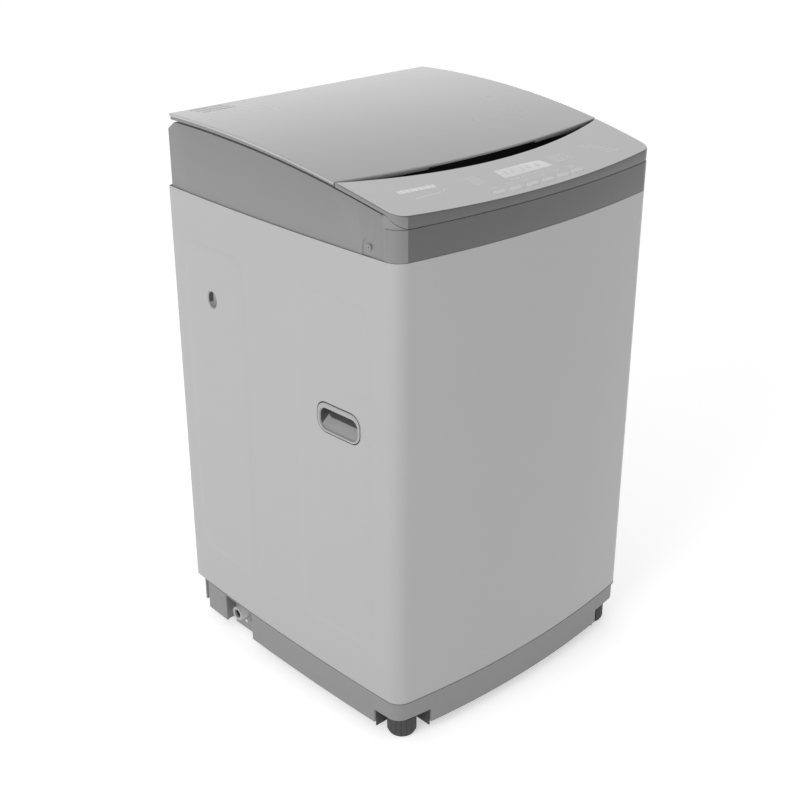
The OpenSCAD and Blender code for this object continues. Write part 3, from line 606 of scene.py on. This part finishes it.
def exact_normals(o):
    """Gives the corners that lie on the curved top that surface's own normals."""
    me = o.data
    out = []
    for corner, loop in zip(me.corner_normals, me.loops):
        n = Vector(corner.vector)
        p = me.vertices[loop.vertex_index].co
        if n.z > 0.5 and abs(p.z - top(p.y)) < 0.02 * MM:
            s = (p.y - TOP_Y) / TOP_R
            n = Vector((0, s, math.sqrt(1 - s * s)))
        out.append(n)
    me.normals_split_custom_set(out)


LID_GROW = -0.5 * MM                        # the lid's sides stand out past the deck by this
LID_R = 1.9                                 # radius of its front edge
LID_BACK = 2.2 * MM                         # from the CAD box's front to that edge


def lid_front(x):
    return low("lid_panel").y + LID_BACK + LID_R - math.sqrt(LID_R ** 2 - x * x)


def clamp(v, m):
    return max(-m, min(m, v))


def meet_side(front, o):
    """Where a front curve y = front(x) reaches the side of the plan."""
    y = front(HALF - 8 * MM)
    for _ in range(20):
        y = front(side_x(y, o))
    return side_x(y, o), y


def lid():
    y1 = high("lid_panel").y
    thick = high("lid_panel").z - high("lid_frame").z
    xe, ye = meet_side(lid_front, LID_GROW)
    mid = spread(-MID_X, MID_X, 40)
    rc = 4 * MM
    xr = side_x(y1 - rc, LID_GROW)
    fx = [-xe + 0.2 * MM, -xe + 6 * MM, -0.27, -0.255] + mid + [0.255, 0.27, xe - 6 * MM, xe - 0.2 * MM]
    loop = [Vector((x, lid_front(x))) for x in fx]
    side_ys = [ye + 1.5 * MM, ye + 6 * MM] + spread(ye + 20 * MM, y1 - rc - 4 * MM, 22)
    loop += [Vector((side_x(y, LID_GROW), y)) for y in side_ys]
    loop += [Vector((xr - rc + rc * math.cos(a), y1 - rc + rc * math.sin(a)))
             for a in spread(0, math.pi / 2, 10)]
    loop += [Vector((x, y1)) for x in [0.277, 0.262] + mid[::-1] + [-0.262, -0.277]]
    loop += [Vector((-xr + rc + rc * math.cos(a), y1 - rc + rc * math.sin(a)))
             for a in spread(math.pi / 2, math.pi, 10)]
    loop += [Vector((-side_x(y, LID_GROW), y)) for y in side_ys[::-1]]
    normals = loop_normals(loop)
    r = 1.3 * MM
    bm = bmesh.new()

    def ring(inset, drop):
        pts = []
        for p, u in zip(loop, normals):
            q = p - u * inset
            pts.append(Vector((q.x, q.y, top(q.y) - drop)))
        return add_ring(bm, pts)

    rings = [ring(0.5 * MM, thick), ring(0, thick - 0.6 * MM)]
    rings += [ring(r * (1 - math.cos(a)), r * (1 - math.sin(a))) for a in spread(0, math.pi / 2, 6)]
    loft(bm, rings)
    spine = [(clamp(p.x, MID_X), 0.045) for p in loop]
    cap_to_spine(bm, rings[-1], spine, top, 14)
    cap_to_spine(bm, rings[0], spine, lambda y: top(y) - thick, 4, flip=True)
    o = new_object("lid_form", bm)
    sharpen(o, 40)
    exact_normals(o)
    place(o, "lid", "lid", "lid_panel")


PANEL_R, PANEL_C = 0.919, 0.718             # radius and centre of the panel's rear edge
LIP_A, LIP_B = -281 * MM, -256 * MM         # where the lip's lower edge runs down at the corners
TRIM_END = -254 * MM                        # rear ends of the front band
DECK_FACES = 0.3                            # faces turned more to the side than this are deck coloured


def panel_rear(x):
    return PANEL_C - math.sqrt(PANEL_R ** 2 - x * x)


def lip_bottom(y):
    """Lower edge of the panel's lip round the front and along the sides."""
    if y <= LIP_A:
        return Z_LIP
    rise = top(max(y, LIP_B)) - 10 * MM + thin(max(y, LIP_B))
    return Z_LIP + (rise - Z_LIP) * min(1, (y - LIP_A) / (LIP_B - LIP_A))


KEY_XS = [x * MM for x in (-85, -50, -15, 20, 55, 90)]
KEY_NODES = ["button_" + k for k in ("program", "level", "wash", "rinse", "delay", "start")]
TILT = math.asin((TOP_Y + 284 * MM) / TOP_R)    # slope of the top at the keys


def key_frame(x):
    """Matrix from a key's own plane, z outwards, to the model."""
    y = -285 * MM + x * x / 3.3
    return Matrix.Translation((x, y, top(y))) @ Matrix.Rotation(TILT, 4, "X")


def plate(name, loop, z0, z1, at, edge=0.0):
    """Flat plate with a rounded upper edge, drawn in its own plane."""
    bm = bmesh.new()
    normals = loop_normals(loop)
    rings = [[Vector((p.x, p.y, z0)) for p in loop]]
    if edge:
        for a in spread(0, math.pi / 2, 4):
            flat = [p - u * edge * (1 - math.cos(a)) for p, u in zip(loop, normals)]
            rings.append([Vector((q.x, q.y, z1 - edge * (1 - math.sin(a)))) for q in flat])
    else:
        rings.append([Vector((p.x, p.y, z1)) for p in loop])
    made = [add_ring(bm, [at @ q for q in ring]) for ring in rings]
    loft(bm, made)
    bm.faces.new(made[-1])
    bm.faces.new(made[0][::-1])
    outward(bm)
    return new_object(name, bm)


WINDOW = [Vector((x * MM, y * MM)) for x, y in ((-42, -254), (67, -254), (59, -229), (-42, -229))]


def panel():
    off = 0.5 * MM
    ye = meet_side(panel_rear, off)[1]
    ys = spread(ye + 0.5 * MM, CORNER_CUT, 12)
    loop = [p for p, _ in whole_plan(off, ys, [CORNER_CUT, -0.251] + spread(-MID_X, 0, 20))]
    rear_x = [0.274, 0.263, 0.252] + spread(MID_X, -MID_X, 40) + [-0.252, -0.263, -0.274]
    n_front = len(loop)
    loop += [Vector((x, panel_rear(x))) for x in rear_x]
    normals = loop_normals(loop)
    bm = bmesh.new()
    r_out, r_in, wall = 2.4 * MM, 1.2 * MM, 2.5 * MM

    def ring(inset, level):
        """inset and level are functions of (is front, plan point)."""
        pts = []
        for i, (p, u) in enumerate(zip(loop, normals)):
            q = p - u * inset(i < n_front)
            pts.append(Vector((q.x, q.y, level(i < n_front, p, q))))
        return add_ring(bm, pts)

    skin = 3 * MM
    base = lambda f, p, q: lip_bottom(p.y) if f else top(q.y) - skin
    rings = [ring(lambda f: wall if f else 2 * MM, lambda f, p, q: top(q.y) - skin + 0.1 * MM),
             ring(lambda f: wall if f else 1.6 * MM, base),
             ring(lambda f: 0.4 * MM, base),
             ring(lambda f: 0.0, lambda f, p, q: base(f, p, q) + 0.5 * MM)]
    for a in spread(0, math.pi / 2, 7):
        rings.append(ring(lambda f, a=a: (r_out if f else r_in) * (1 - math.cos(a)),
                          lambda f, p, q, a=a: top(q.y) - (r_out if f else r_in) * (1 - math.sin(a))))
    lip_faces = []
    for a, b in zip(rings[:-3], rings[1:-2]):
        lip_faces += join_rings(bm, a, b)
    for a, b in zip(rings[-3:], rings[-2:]):
        join_rings(bm, a, b)
    spine = [(x, (front_y(x, off) + panel_rear(x)) / 2) for x in (clamp(p.x, MID_X) for p in loop)]
    cap_to_spine(bm, rings[-1], spine, top, 7)
    cap_to_spine(bm, rings[0], spine, lambda y: top(y) - skin + 0.1 * MM, 3, flip=True)
    bm.normal_update()
    for f in lip_faces:
        f.material_index = 2 if abs(f.normal.x) > DECK_FACES else 1
    o = new_object("panel_form", bm)
    paint(o, "film", "trim", "deck")
    for x in KEY_XS:
        carve(o, plate("key_hole", rounded(27 * MM, 10 * MM, 4 * MM, 5), -8 * MM, 6 * MM, key_frame(x)))
    pocket = plate("pocket", WINDOW, -1.3 * MM, 20 * MM, Matrix.Translation((0, 0, top(-241 * MM))))
    for v in pocket.data.vertices:
        v.co.z = top(v.co.y) + (-1.3 * MM if v.co.z < top(-241 * MM) + 5 * MM else 9 * MM)
    carve(o, pocket)
    sharpen(o, 40)
    exact_normals(o)
    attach(o, "cabinet")
    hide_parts("control_fascia")


def recess():
    """Trough behind the panel, where fingers reach under the lid; its near-black colour is painted
    shade.
    """
    bm = bmesh.new()
    rings = []
    y1, y2 = -156 * MM, -153.6 * MM
    for x in spread(-0.2765, 0.2765, 48):
        yr = min(panel_rear(x), y1 - 0.6 * MM)
        turn = yr + min(1.5 * MM, (y1 - yr) / 3)
        prof = [(yr - 2.4 * MM, 2.8), (yr, 2.8), (yr, 24.5), (turn, 26), (y1, 26), (y1, 14.4),
                (y2, 14.4), (y2, 28.5), (yr - 2.4 * MM, 28.5)]
        rings.append(add_ring(bm, [Vector((x, y, top(y) - d * MM)) for y, d in prof]))
    loft(bm, rings)
    bm.faces.new(rings[0])
    bm.faces.new(rings[-1][::-1])
    outward(bm)
    o = new_object("recess_form", bm)
    sharpen(o, 30)
    place(o, "cabinet", "painted_shade")
    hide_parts("control_fascia")


def block(name, a, b, mat, width=0.6 * MM):
    """Box between two corners with rounded edges."""
    bm = bmesh.new()
    bmesh.ops.create_cube(bm, size=1)
    for v in bm.verts:
        v.co = Vector([p + (q - p) * (c + 0.5) for p, q, c in zip(a, b, v.co)]) * MM
    bmesh.ops.bevel(bm, geom=bm.edges[:], offset=width, segments=2, affect="EDGES")
    o = new_object(name, bm)
    sharpen(o, 40)
    place(o, "cabinet", mat)


def side_slots():
    """Near-black block of painted shade in the slot between the lid and the panel at each side."""
    y_panel = meet_side(panel_rear, 0.5 * MM)[1]
    y0, y1 = y_panel / MM - 1, lid_front(0.287) / MM + 1
    for s, name in SIDE_NAME.items():
        x0, x1 = sorted((s * 270, s * (side_x(y_panel) / MM - 1.4)))
        z = top((y0 + y1) / 2 * MM) / MM
        block("side_slot_%s" % name, (x0, y0, z - 9), (x1, y1, z - 3.4), "painted_shade", 0.2 * MM)


def keys():
    for x, node in zip(KEY_XS, KEY_NODES):
        o = plate(node + "_cap", rounded(26 * MM, 9 * MM, 3.6 * MM, 6), -4.8 * MM, 0.6 * MM,
                  key_frame(x), edge=0.5 * MM)
        sharpen(o, 60)
        place(o, BODY_OF[node], "key", node)


def trim():
    """Front band under the panel."""
    z0, z1 = Z_DECK + 0.3 * MM, Z_LIP - 0.5 * MM
    ys = spread(TRIM_END, CORNER_CUT, 2)
    xs = [CORNER_CUT, -0.25] + spread(-MID_X, 0, 20)
    bm = bmesh.new()
    r, depth = 0.9 * MM, 2.8 * MM

    def ring(o, z):
        return add_ring(bm, [Vector((p.x, p.y, z)) for p, _ in whole_plan(o, ys, xs)])

    rings = [ring(depth, z0)]
    for a in spread(0, math.pi / 2, 4):
        rings.append(ring(r * (1 - math.sin(a)), z0 + r * (1 - math.cos(a))))
    for a in spread(0, math.pi / 2, 4):
        rings.append(ring(r * (1 - math.cos(a)), z1 - r * (1 - math.sin(a))))
    rings.append(ring(depth, z1))
    loft(bm, rings + rings[:1], closed=False)
    bm.faces.new([q[0] for q in rings])
    bm.faces.new([q[-1] for q in rings[::-1]])
    outward(bm)
    bm.normal_update()
    for f in bm.faces:
        f.material_index = int(abs(f.normal.x) > DECK_FACES)
    o = new_object("trim_form", bm)
    sharpen(o, 40)
    place(o, "cabinet", ("trim", "deck"), "deck_front_trim")


def marks():
    """Generic printing: short dashes and simple icons, each a thin film on the surface."""
    bm = bmesh.new()

    def dash(x, y, w, h, turn, index, z=top):
        """One bar of w by h round (x, y), all in millimetres."""
        c, s = math.cos(turn), math.sin(turn)
        pts = []
        for lift in (-0.05, 0.14):
            for dx, dy in ((-w, -h), (w, -h), (w, h), (-w, h)):
                px, py = x + (dx * c - dy * s) / 2, y + (dx * s + dy * c) / 2
                pts.append(bm.verts.new((px * MM, py * MM, z(py * MM) + lift * MM)))
        for q in ((3, 2, 1, 0), (4, 5, 6, 7), (0, 1, 5, 4), (1, 2, 6, 5), (2, 3, 7, 6), (3, 0, 4, 7)):
            bm.faces.new([pts[i] for i in q]).material_index = index

    def words(x, y, length, height, seed, turn, index, gap=1.1):
        """A row of dashes whose lengths vary, standing for words."""
        c, s = math.cos(turn), math.sin(turn)
        u = 0
        k = seed
        while u < length:
            w = min(length - u, 1.6 + (k * 7 % 5) * 0.9)
            dash(x + (u + w / 2) * c, y + (u + w / 2) * s, w, height, turn, index)
            u += w + gap
            k += 1

    # wide mark and the line below it, on the left of the panel
    slope = math.atan2(-6, 66)
    words(-231, -220.5, 68, 8.6, 1, slope, 0, gap=1.5)
    words(-219, -246, 50, 2.6, 3, 0.0, 1)
    dash(-160, -243, 13, 1.6, 0.6, 1)
    # labels left of the window
    for i in range(5):
        words(-106 + i * 1.2, -229 - i * 5.4, 22, 2.0, i, 0.0, 1)
    # indicator rows round the window
    for i, x in enumerate((-42, -28, -14, 0, 14, 28, 42)):
        words(x, -262, 10, 1.7, i, 0.0, 1)
    for i, x in enumerate((-92, -57, -22, 13, 48, 83)):
        words(x, -268.5, 16, 1.9, i + 2, 0.0, 1)
        words(x + 2, -272.5, 11, 1.3, i + 4, 0.0, 1)
    for i in range(4):
        words(76 + i * 2, -229.5 - i * 6.2, 26, 2.2, i + 1, 0.0, 1)
        dash(108 + i * 3, -230 - i * 6.2, 4.4, 2.6, 0.0, 1)
    # digits' bars in the window
    for x in (-28, -14, 8, 22, 42):
        dash(x, -241.5, 6.5, 9.5, 0.0, 1, lambda y: top(y) - 0.02 * MM)
    # small lines at the right end
    for i in range(5):
        words(163 + i * 7, -224 - i * 8.2, 30, 1.8, i + 5, -0.12, 1)
    o = new_object("panel_print", bm, smooth=False)
    place(o, "cabinet", ("mark", "mark_soft"))

    bm = bmesh.new()
    for i in range(3):
        words(-252 + i * 3, 276 - 19 - i * 13, 66, 4.2, i * 2 + 1, 0.0, 1)
    o = new_object("lid_print", bm, smooth=False)
    place(o, "lid", ("mark_soft", "mark_faint"))


# ---- base and feet ----

def shoulder():
    """Deck wall that shows between the panel's lip and the front band at the corners."""
    for side in (-1, 1):
        plan_a, plan_b = (half_plan(o, [-0.25, -0.2545], [CORNER_CUT, -0.255], 16)
                          for o in (1.4 * MM, 4.4 * MM))
        bm = bmesh.new()
        rings = []
        for (p, _), (q, _) in zip(plan_a, plan_b):
            z = lip_bottom(p.y) - 1.4 * MM
            rings.append(add_ring(bm, [Vector((-side * v.x, v.y, h)) for v, h in
                                       ((p, Z_DECK + 2 * MM), (p, z), (q, z), (q, Z_DECK + 2 * MM))]))
        loft(bm, rings)
        bm.faces.new(rings[0])
        bm.faces.new(rings[-1][::-1])
        outward(bm)
        o = new_object("shoulder_%s" % SIDE_NAME[side], bm)
        sharpen(o, 30)
        place(o, "cabinet", "deck")


def ledge():
    """Narrow ledge of the base that the sheet steel stands over."""
    ys = spread(0.25, -0.25, 20)
    xs = spread(-(HALF - BOW_SIDE), 0, 24)
    bm = bmesh.new()
    z = Z_CABINET - LEDGE_DROP
    rings = [add_ring(bm, [Vector((p.x, p.y, z + h * MM)) for p, _ in whole_plan(o * MM, ys, xs)])
             for o, h in ((3.4, 0), (0.4, 0), (-0.5, 0.5), (-0.5, 1.6), (0, LEDGE_H - 0.2),
                          (3.4, LEDGE_H))]
    loft(bm, rings + rings[:1], closed=False)
    bm.faces.new([q[0] for q in rings])
    bm.faces.new([q[-1] for q in rings[::-1]])
    outward(bm)
    o = new_object("base_ledge", bm)
    sharpen(o, 40)
    place(o, "cabinet", "base")


def under_base():
    """Inner walls round the front feet, coloured dark as painted shade, the wall behind the drain, and
    the drain pipe's end with a disc of painted shade in its bore.
    """
    # The walls and screens round the feet are coloured as painted shade.
    for s, name in SIDE_NAME.items():
        x0, x1 = sorted((s * 215, s * 212.5))
        block("foot_wall_%s" % name, (x0, -280, 9), (x1, -219, 80), "grip_deep")
        x0, x1 = sorted((s * 281, s * 212.5))
        block("foot_screen_%s" % name, (x0, -221, 9), (x1, -218.5, 80), "grip_deep")
    a, b = low("drain_outlet"), high("drain_outlet")
    y, z, r = (a.y + b.y) / 2, a.z + 20 * MM, 13.5
    block("drain_wall", (-268, 111, 9), (-265.5, 191, 75), "base")
    block("drain_clip", (-282, y / MM - 27, z / MM - 8), (-268, y / MM - 21, z / MM - 2), "pipe")
    end = prism_x("pipe_end", rounded(2 * r * MM, 2 * r * MM, (r - 0.01) * MM), (y, z), a.x - 0.3 * MM,
                  a.x + 4 * MM)
    carve(end, prism_x("bore", rounded(17 * MM, 17 * MM, 8.49 * MM), (y, z), a.x - 3 * MM, a.x + 9 * MM))
    sharpen(end, 40)
    place(end, "cabinet", "grip")
    # Near-black disc of painted shade inside the pipe's bore.
    o = prism_x("bore_shade", rounded(19 * MM, 19 * MM, 9.49 * MM), (y, z), a.x + 4.2 * MM, a.x + 5 * MM)
    place(o, "cabinet", "painted_shade")


def lathe(bm, profile, at, n, wave=None):
    """Surface of revolution, open at its ends; wave(angle, z) scales the radius. The profile runs up the
    outside.
    """
    rings = []
    for r, z in profile:
        ring = []
        for i in range(n):
            a = 2 * math.pi * i / n
            q = r * (wave(a, z) if wave else 1)
            ring.append(Vector((at[0] + q * math.cos(a), at[1] + q * math.sin(a), at[2] + z)))
        rings.append(add_ring(bm, ring))
    loft(bm, rings)
    return rings


def lathe_solid(bm, profile, at, n, wave=None):
    rings = lathe(bm, profile, at, n, wave)
    bm.faces.new(rings[0][::-1])
    bm.faces.new(rings[-1])


def foot(node):
    a, b = low(node), high(node)
    cx, cy = (a.x + b.x) / 2, (a.y + b.y) / 2
    bm = bmesh.new()

    def flutes(angle, z):
        inside = 4 * MM < z < 35 * MM
        return 1 - (0.055 * max(0, math.cos(angle * 16)) ** 3 if inside else 0)

    prof = [(21, 0), (22, 0.6), (22.2, 3.4), (24, 4.2), (25, 5.5), (25, 9), (25, 20), (25, 32),
            (24.6, 34.6), (23.2, 35.8), (12.6, 36)]
    lathe_solid(bm, [(r * MM, z * MM) for r, z in prof], (cx, cy, 0), 128, flutes)
    lathe_solid(bm, [(r * MM, z * MM) for r, z in ((11.6, 36), (12, 36.5), (12, 45.2), (11.6, 45.7))],
                (cx, cy, 0), 6)
    turns = [(6 if k % 2 else 5.4, 45.7 + k * 0.75) for k in range(48)]
    lathe_solid(bm, [(r * MM, z * MM) for r, z in turns if z < 81], (cx, cy, 0), 24)
    o = new_object(node + "_form", bm)
    sharpen(o, 35)
    place(o, BODY_OF[node], "foot", node)


# ---- tub, basket and springs ----

AXIS = ((low("pulsator").x + high("pulsator").x) / 2, (low("pulsator").y + high("pulsator").y) / 2)


def tube(bm, path, r):
    """Closed eight-sided tube along a list of points."""
    rings = []
    for i, p in enumerate(path):
        t = (path[min(i + 1, len(path) - 1)] - path[max(i - 1, 0)]).normalized()
        side = t.cross(Vector((0, 0, 1))).normalized()
        up = side.cross(t)
        rings.append(add_ring(bm, [p + (side * math.cos(a) + up * math.sin(a)) * r
                                   for a in (math.pi * k / 4 for k in range(8))]))
    loft(bm, rings)
    bm.faces.new(rings[0][::-1])
    bm.faces.new(rings[-1])


def stretching(o, node, mat, z_cabinet, z_tub):
    """Paints a piece that spans between the cabinet and the tub, hides its CAD node and bakes its
    placement into the mesh.
    """
    paint(o, mat)
    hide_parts(node)
    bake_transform(o)


def springs():
    a, b = low("suspension_springs"), high("suspension_springs")
    inset, coil = 16 * MM, 13.6 * MM
    z0, z1 = a.z, b.z
    bm = bmesh.new()
    wire, turns, n = 1.9 * MM, 7, 22
    for x in (a.x + inset, b.x - inset):
        for y in (a.y + inset, b.y - inset):
            path = []
            for i in range(turns * n + 1):
                t = i / (turns * n)
                flat = min(1, max(0, (t * turns - 0.8) / (turns - 1.6)))
                ang = 2 * math.pi * turns * t
                path.append(Vector((x + coil * math.cos(ang), y + coil * math.sin(ang),
                                    z0 + wire + (z1 - z0 - 2 * wire) * (0.05 * t + 0.95 * flat))))
            tube(bm, path, wire)
    outward(bm)
    stretching(new_object("spring_coils", bm), "suspension_springs", "spring", z0, z1)


def bellows():
    a, b = low("drain_bellows"), high("drain_bellows")
    cx, cy = (a.x + b.x) / 2, (a.y + b.y) / 2
    h = b.z - a.z
    outer = [(15 + 1.5 * (1 - math.cos(10 * math.pi * t)), t * h / MM) for t in spread(0.06, 0.94, 60)]
    outer = [(15.4, 0)] + outer + [(15.4, h / MM)]
    inner = [(r - 3.4, z) for r, z in reversed(outer)]
    bm = bmesh.new()
    rings = lathe(bm, [(r * MM, z * MM) for r, z in outer + inner], (cx, cy, a.z), 40)
    join_rings(bm, rings[-1], rings[0])
    outward(bm)
    stretching(new_object("bellows_form", bm), "drain_bellows", "rubber", a.z, b.z)


def air_tube():
    a, b = low("pressure_tube"), high("pressure_tube")
    cx, cy = (a.x + b.x) / 2, (a.y + b.y) / 2
    levels = spread(0, b.z - a.z, 40)
    bm = bmesh.new()
    rings = lathe(bm, [(3.5 * MM, z) for z in levels] + [(2 * MM, z) for z in levels[::-1]],
                  (cx, cy, a.z), 16)
    join_rings(bm, rings[-1], rings[0])
    outward(bm)
    stretching(sharpen(new_object("air_tube_form", bm), 50), "pressure_tube", "rubber", b.z, a.z)


def drum():
    """Basket wall with rows of small holes between smooth bands."""
    a, b = low("basket_drum"), high("basket_drum")
    ro, ri = (b.x - a.x) / 2, (b.x - a.x) / 2 - 0.8 * MM
    z0, z1 = a.z, b.z
    cols, hole = 96, 1.7 * MM
    band_low, band_high = 50 * MM, 60 * MM      # without holes
    step = 2 * math.pi / cols
    pitch = ro * step
    rows = int((z1 - z0 - band_low - band_high) / pitch)
    start = z0 + band_low
    bm = bmesh.new()

    def put(ang, z, r):
        return bm.verts.new((AXIS[0] + r * math.cos(ang), AXIS[1] + r * math.sin(ang), z))

    # vertices of the grid on both faces
    grid = [z0] + [start + k * pitch for k in range(rows + 1)] + [z1]
    face = {}
    for side, r in ((0, ro), (1, ri)):
        for j, z in enumerate(grid):
            for i in range(cols):
                face[side, i, j] = put(i * step, z, r)
    for j in range(len(grid) - 1):
        for i in range(cols):
            k = (i + 1) % cols
            holed = 0 < j < len(grid) - 2 and (i + j) % 2 == 0 and i % 12 not in (0, 11)
            loops = []
            for side, r in ((0, ro), (1, ri)):
                c = [face[side, i, j], face[side, k, j], face[side, k, j + 1], face[side, i, j + 1]]
                if not holed:
                    bm.faces.new(c if side == 0 else c[::-1])
                    continue
                ca, cz = (i + 0.5) * step, (grid[j] + grid[j + 1]) / 2
                o8 = [put(ca + hole * math.cos(q) / r, cz + hole * math.sin(q), r)
                      for q in (math.radians(-135 + 45 * m) for m in range(8))]
                for m in range(4):
                    p, q = c[m], c[(m + 1) % 4]
                    quad = [p, q, o8[(2 * m + 2) % 8], o8[2 * m + 1], o8[2 * m]]
                    bm.faces.new(quad if side == 0 else quad[::-1])
                loops.append(o8)
            if holed:
                for m in range(8):
                    n = (m + 1) % 8
                    bm.faces.new([loops[0][m], loops[0][n], loops[1][n], loops[1][m]])
    for j, flip in ((0, True), (len(grid) - 1, False)):
        for i in range(cols):
            k = (i + 1) % cols
            q = [face[0, i, j], face[0, k, j], face[1, k, j], face[1, i, j]]
            bm.faces.new(q[::-1] if flip else q)
    o = new_object("basket_wall", bm)
    sharpen(o, 40)
    place(o, "basket", "basket", "basket_drum")


def vane_wheel():
    """Pulsator: a domed plate with four curved ridges."""
    a, b = low("pulsator"), high("pulsator")
    at = (AXIS[0], AXIS[1], a.z)
    rim = (b.x - a.x) / 2 / MM
    top_line = [(rim - 1, 0.2), (rim, 1.2), (rim, 7), (rim - 2, 9), (rim - 8, 10.6), (rim - 30, 13.2),
                (120, 15.6), (100, 17.6), (80, 20.0), (66, 23), (54, 30), (44, 38.6), (36, 43.5),
                (26, 46.4), (14, 47.6), (4, 48)]
    under = [(4, 38), (26, 38), (38, 36), (68, 16), (rim - 12, 8), (rim - 6, 1)]
    bm = bmesh.new()
    rings = lathe(bm, [(r * MM, z * MM) for r, z in top_line], at, 96)
    bm.faces.new(rings[-1])
    low_rings = lathe(bm, [(r * MM, z * MM) for r, z in under], at, 96)
    bm.faces.new(low_rings[0][::-1])
    join_rings(bm, low_rings[-1], rings[0])

    def height(r):
        for (r1, h1), (r0, h0) in zip(top_line, top_line[1:]):
            if r0 <= r <= r1:
                return h0 + (h1 - h0) * (r - r0) / (r1 - r0)
        return top_line[-1][1]

    count, m = 4, 24
    for v in range(count):
        rows = []
        for i in range(m + 1):
            t = i / m
            r = 30 + (rim - 46) * t
            ang = 2 * math.pi * v / count + 0.22 * math.sin(math.pi * t)
            half = 4 + 4 * math.sin(math.pi * min(1, t * 1.15)) + 1
            crest = min(36.5, height(r) + 10 * math.sin(math.pi * t) ** 0.6)
            foot_z = height(r) - 3
            c = Vector((AXIS[0] + r * MM * math.cos(ang), AXIS[1] + r * MM * math.sin(ang), 0))
            s = Vector((-math.sin(ang), math.cos(ang), 0))
            rise = max(crest, foot_z + 3.5) - foot_z
            rows.append(add_ring(bm, [c + s * (half * MM * math.cos(q)) +
                                      Vector((0, 0, a.z + (foot_z + rise * math.sin(q)) * MM))
                                      for q in spread(0, math.pi, 8)]))
        loft(bm, rows)
        bm.faces.new(rows[0])
        bm.faces.new(rows[-1][::-1])
    outward(bm)
    o = new_object("vane_wheel", bm)
    sharpen(o, 45)
    place(o, "wash_drive", "light", "pulsator")


def rounded_nodes():
    """CAD shapes that are right as they are, with their sharp edges broken."""
    for node, width in (("top_cover", 1.0), ("base_frame", 0.8), ("lid_frame", 0.6),
                        ("balance_ring", 2.0), ("case_screws", 0.35), ("rear_panel", 0.3),
                        ("drain_outlet", 0.5), ("hinge_bushes", 0.5),
                        ("inlet_valve", 0.5), ("detergent_drawer", 0.8),
                        ("drawer_housing", 0.6), ("display_window", 0.25), ("level_sensor", 0.6),
                        ("lid_switch", 0.8), ("tub_cover_ring", 0.8), ("motor_body", 1.0),
                        ("basket_base", 1.0), ("drain_valve", 0.6), ("drain_actuator", 1.0),
                        ("rear_feet", 1.0), ("power_gland", 0.5), ("drive_pulley", 0.6),
                        ("motor_rotor", 0.5), ("clutch_housing", 0.8), ("mount_plate", 0.4),
                        ("lint_filters", 1.2), ("clutch_lever", 0.6), ("control_board", 0.3)):
        o = softened(node, width * MM)
        place(o, BODY_OF[node], "screw" if node == "case_screws" else BY_SLOT[SLOT_OF[node]], node)


cabinet()
grips()
port()
lid()
panel()
recess()
keys()
side_slots()
trim()
shoulder()
ledge()
under_base()
marks()
foot("foot_front_left")
foot("foot_front_right")
springs()
bellows()
air_tube()
drum()
vane_wheel()
rounded_nodes()


# ---- floor, light, camera ----

def stage_floor():
    bm = bmesh.new()
    n = 64
    rings = [[Vector((r * math.cos(2 * math.pi * i / n), r * math.sin(2 * math.pi * i / n), 0))
              for i in range(n)] for r in (0.5, 1.5, 4, 9)]
    made = [add_ring(bm, r) for r in rings]
    bm.faces.new(made[0])
    loft(bm, made)
    outward(bm)
    o = new_object("floor", bm)
    for f in o.data.polygons:
        if f.normal.z < 0:
            f.flip()
    m = bpy.data.materials.new("floor")
    m.use_nodes = True
    sh = m.node_tree.nodes["Principled BSDF"]
    sh.inputs["Base Color"].default_value = (0.93, 0.93, 0.93, 1)
    sh.inputs["Emission Color"].default_value = (1, 1, 1, 1)
    sh.inputs["Emission Strength"].default_value = 0.44
    sh.inputs["Roughness"].default_value = 0.9
    sh.inputs["Specular IOR Level"].default_value = 0.1
    o.data.materials.append(m)


def area_light(name, where, at, size, power):
    d = bpy.data.lights.new(name, "AREA")
    d.shape = "DISK"
    d.size = size
    d.energy = power
    o = bpy.data.objects.new(name, d)
    o.location = where
    o.rotation_euler = (Vector(at) - Vector(where)).to_track_quat("-Z", "Y").to_euler()
    bpy.context.scene.collection.objects.link(o)


def light():
    sc = bpy.context.scene
    w = bpy.data.worlds.new("studio")
    sc.world = w
    w.use_nodes = True
    # bright round the horizon, darker overhead
    t = w.node_tree
    co = t.nodes.new("ShaderNodeTexCoord")
    xyz = t.nodes.new("ShaderNodeSeparateXYZ")
    ramp = t.nodes.new("ShaderNodeValToRGB")
    stops = ramp.color_ramp.elements
    stops[0].position, stops[0].color = 0.0, (1, 1, 1, 1)
    stops[1].position, stops[1].color = 0.82, (0.36, 0.36, 0.36, 1)
    for at, level in ((0.03, 0.9), (0.3, 0.92), (0.5, 0.8)):
        stops.new(at).color = (level, level, level, 1)
    t.links.new(co.outputs["Generated"], xyz.inputs[0])
    t.links.new(xyz.outputs["Z"], ramp.inputs[0])
    t.links.new(ramp.outputs[0], t.nodes["Background"].inputs[0])
    t.nodes["Background"].inputs[1].default_value = 1.06
    sc.view_settings.view_transform = "Standard"
    area_light("left", (-3.4, -0.6, 1.9), (0, 0, 0.5), 2.2, 48)


def camera():
    cam = bpy.data.cameras.new("camera")
    cam.sensor_width = 36
    cam.lens = 60
    o = bpy.data.objects.new("camera", cam)
    # solved from the machine's long edges
    o.location = (-1.4899, -1.5729, 1.4632)
    az, down = math.radians(43.05), math.radians(25.0)
    look = Vector((math.sin(az) * math.cos(down), math.cos(az) * math.cos(down), -math.sin(down)))
    o.rotation_euler = look.to_track_quat("-Z", "Y").to_euler()
    bpy.context.scene.collection.objects.link(o)
    bpy.context.scene.camera = o


stage_floor()
light()
camera()
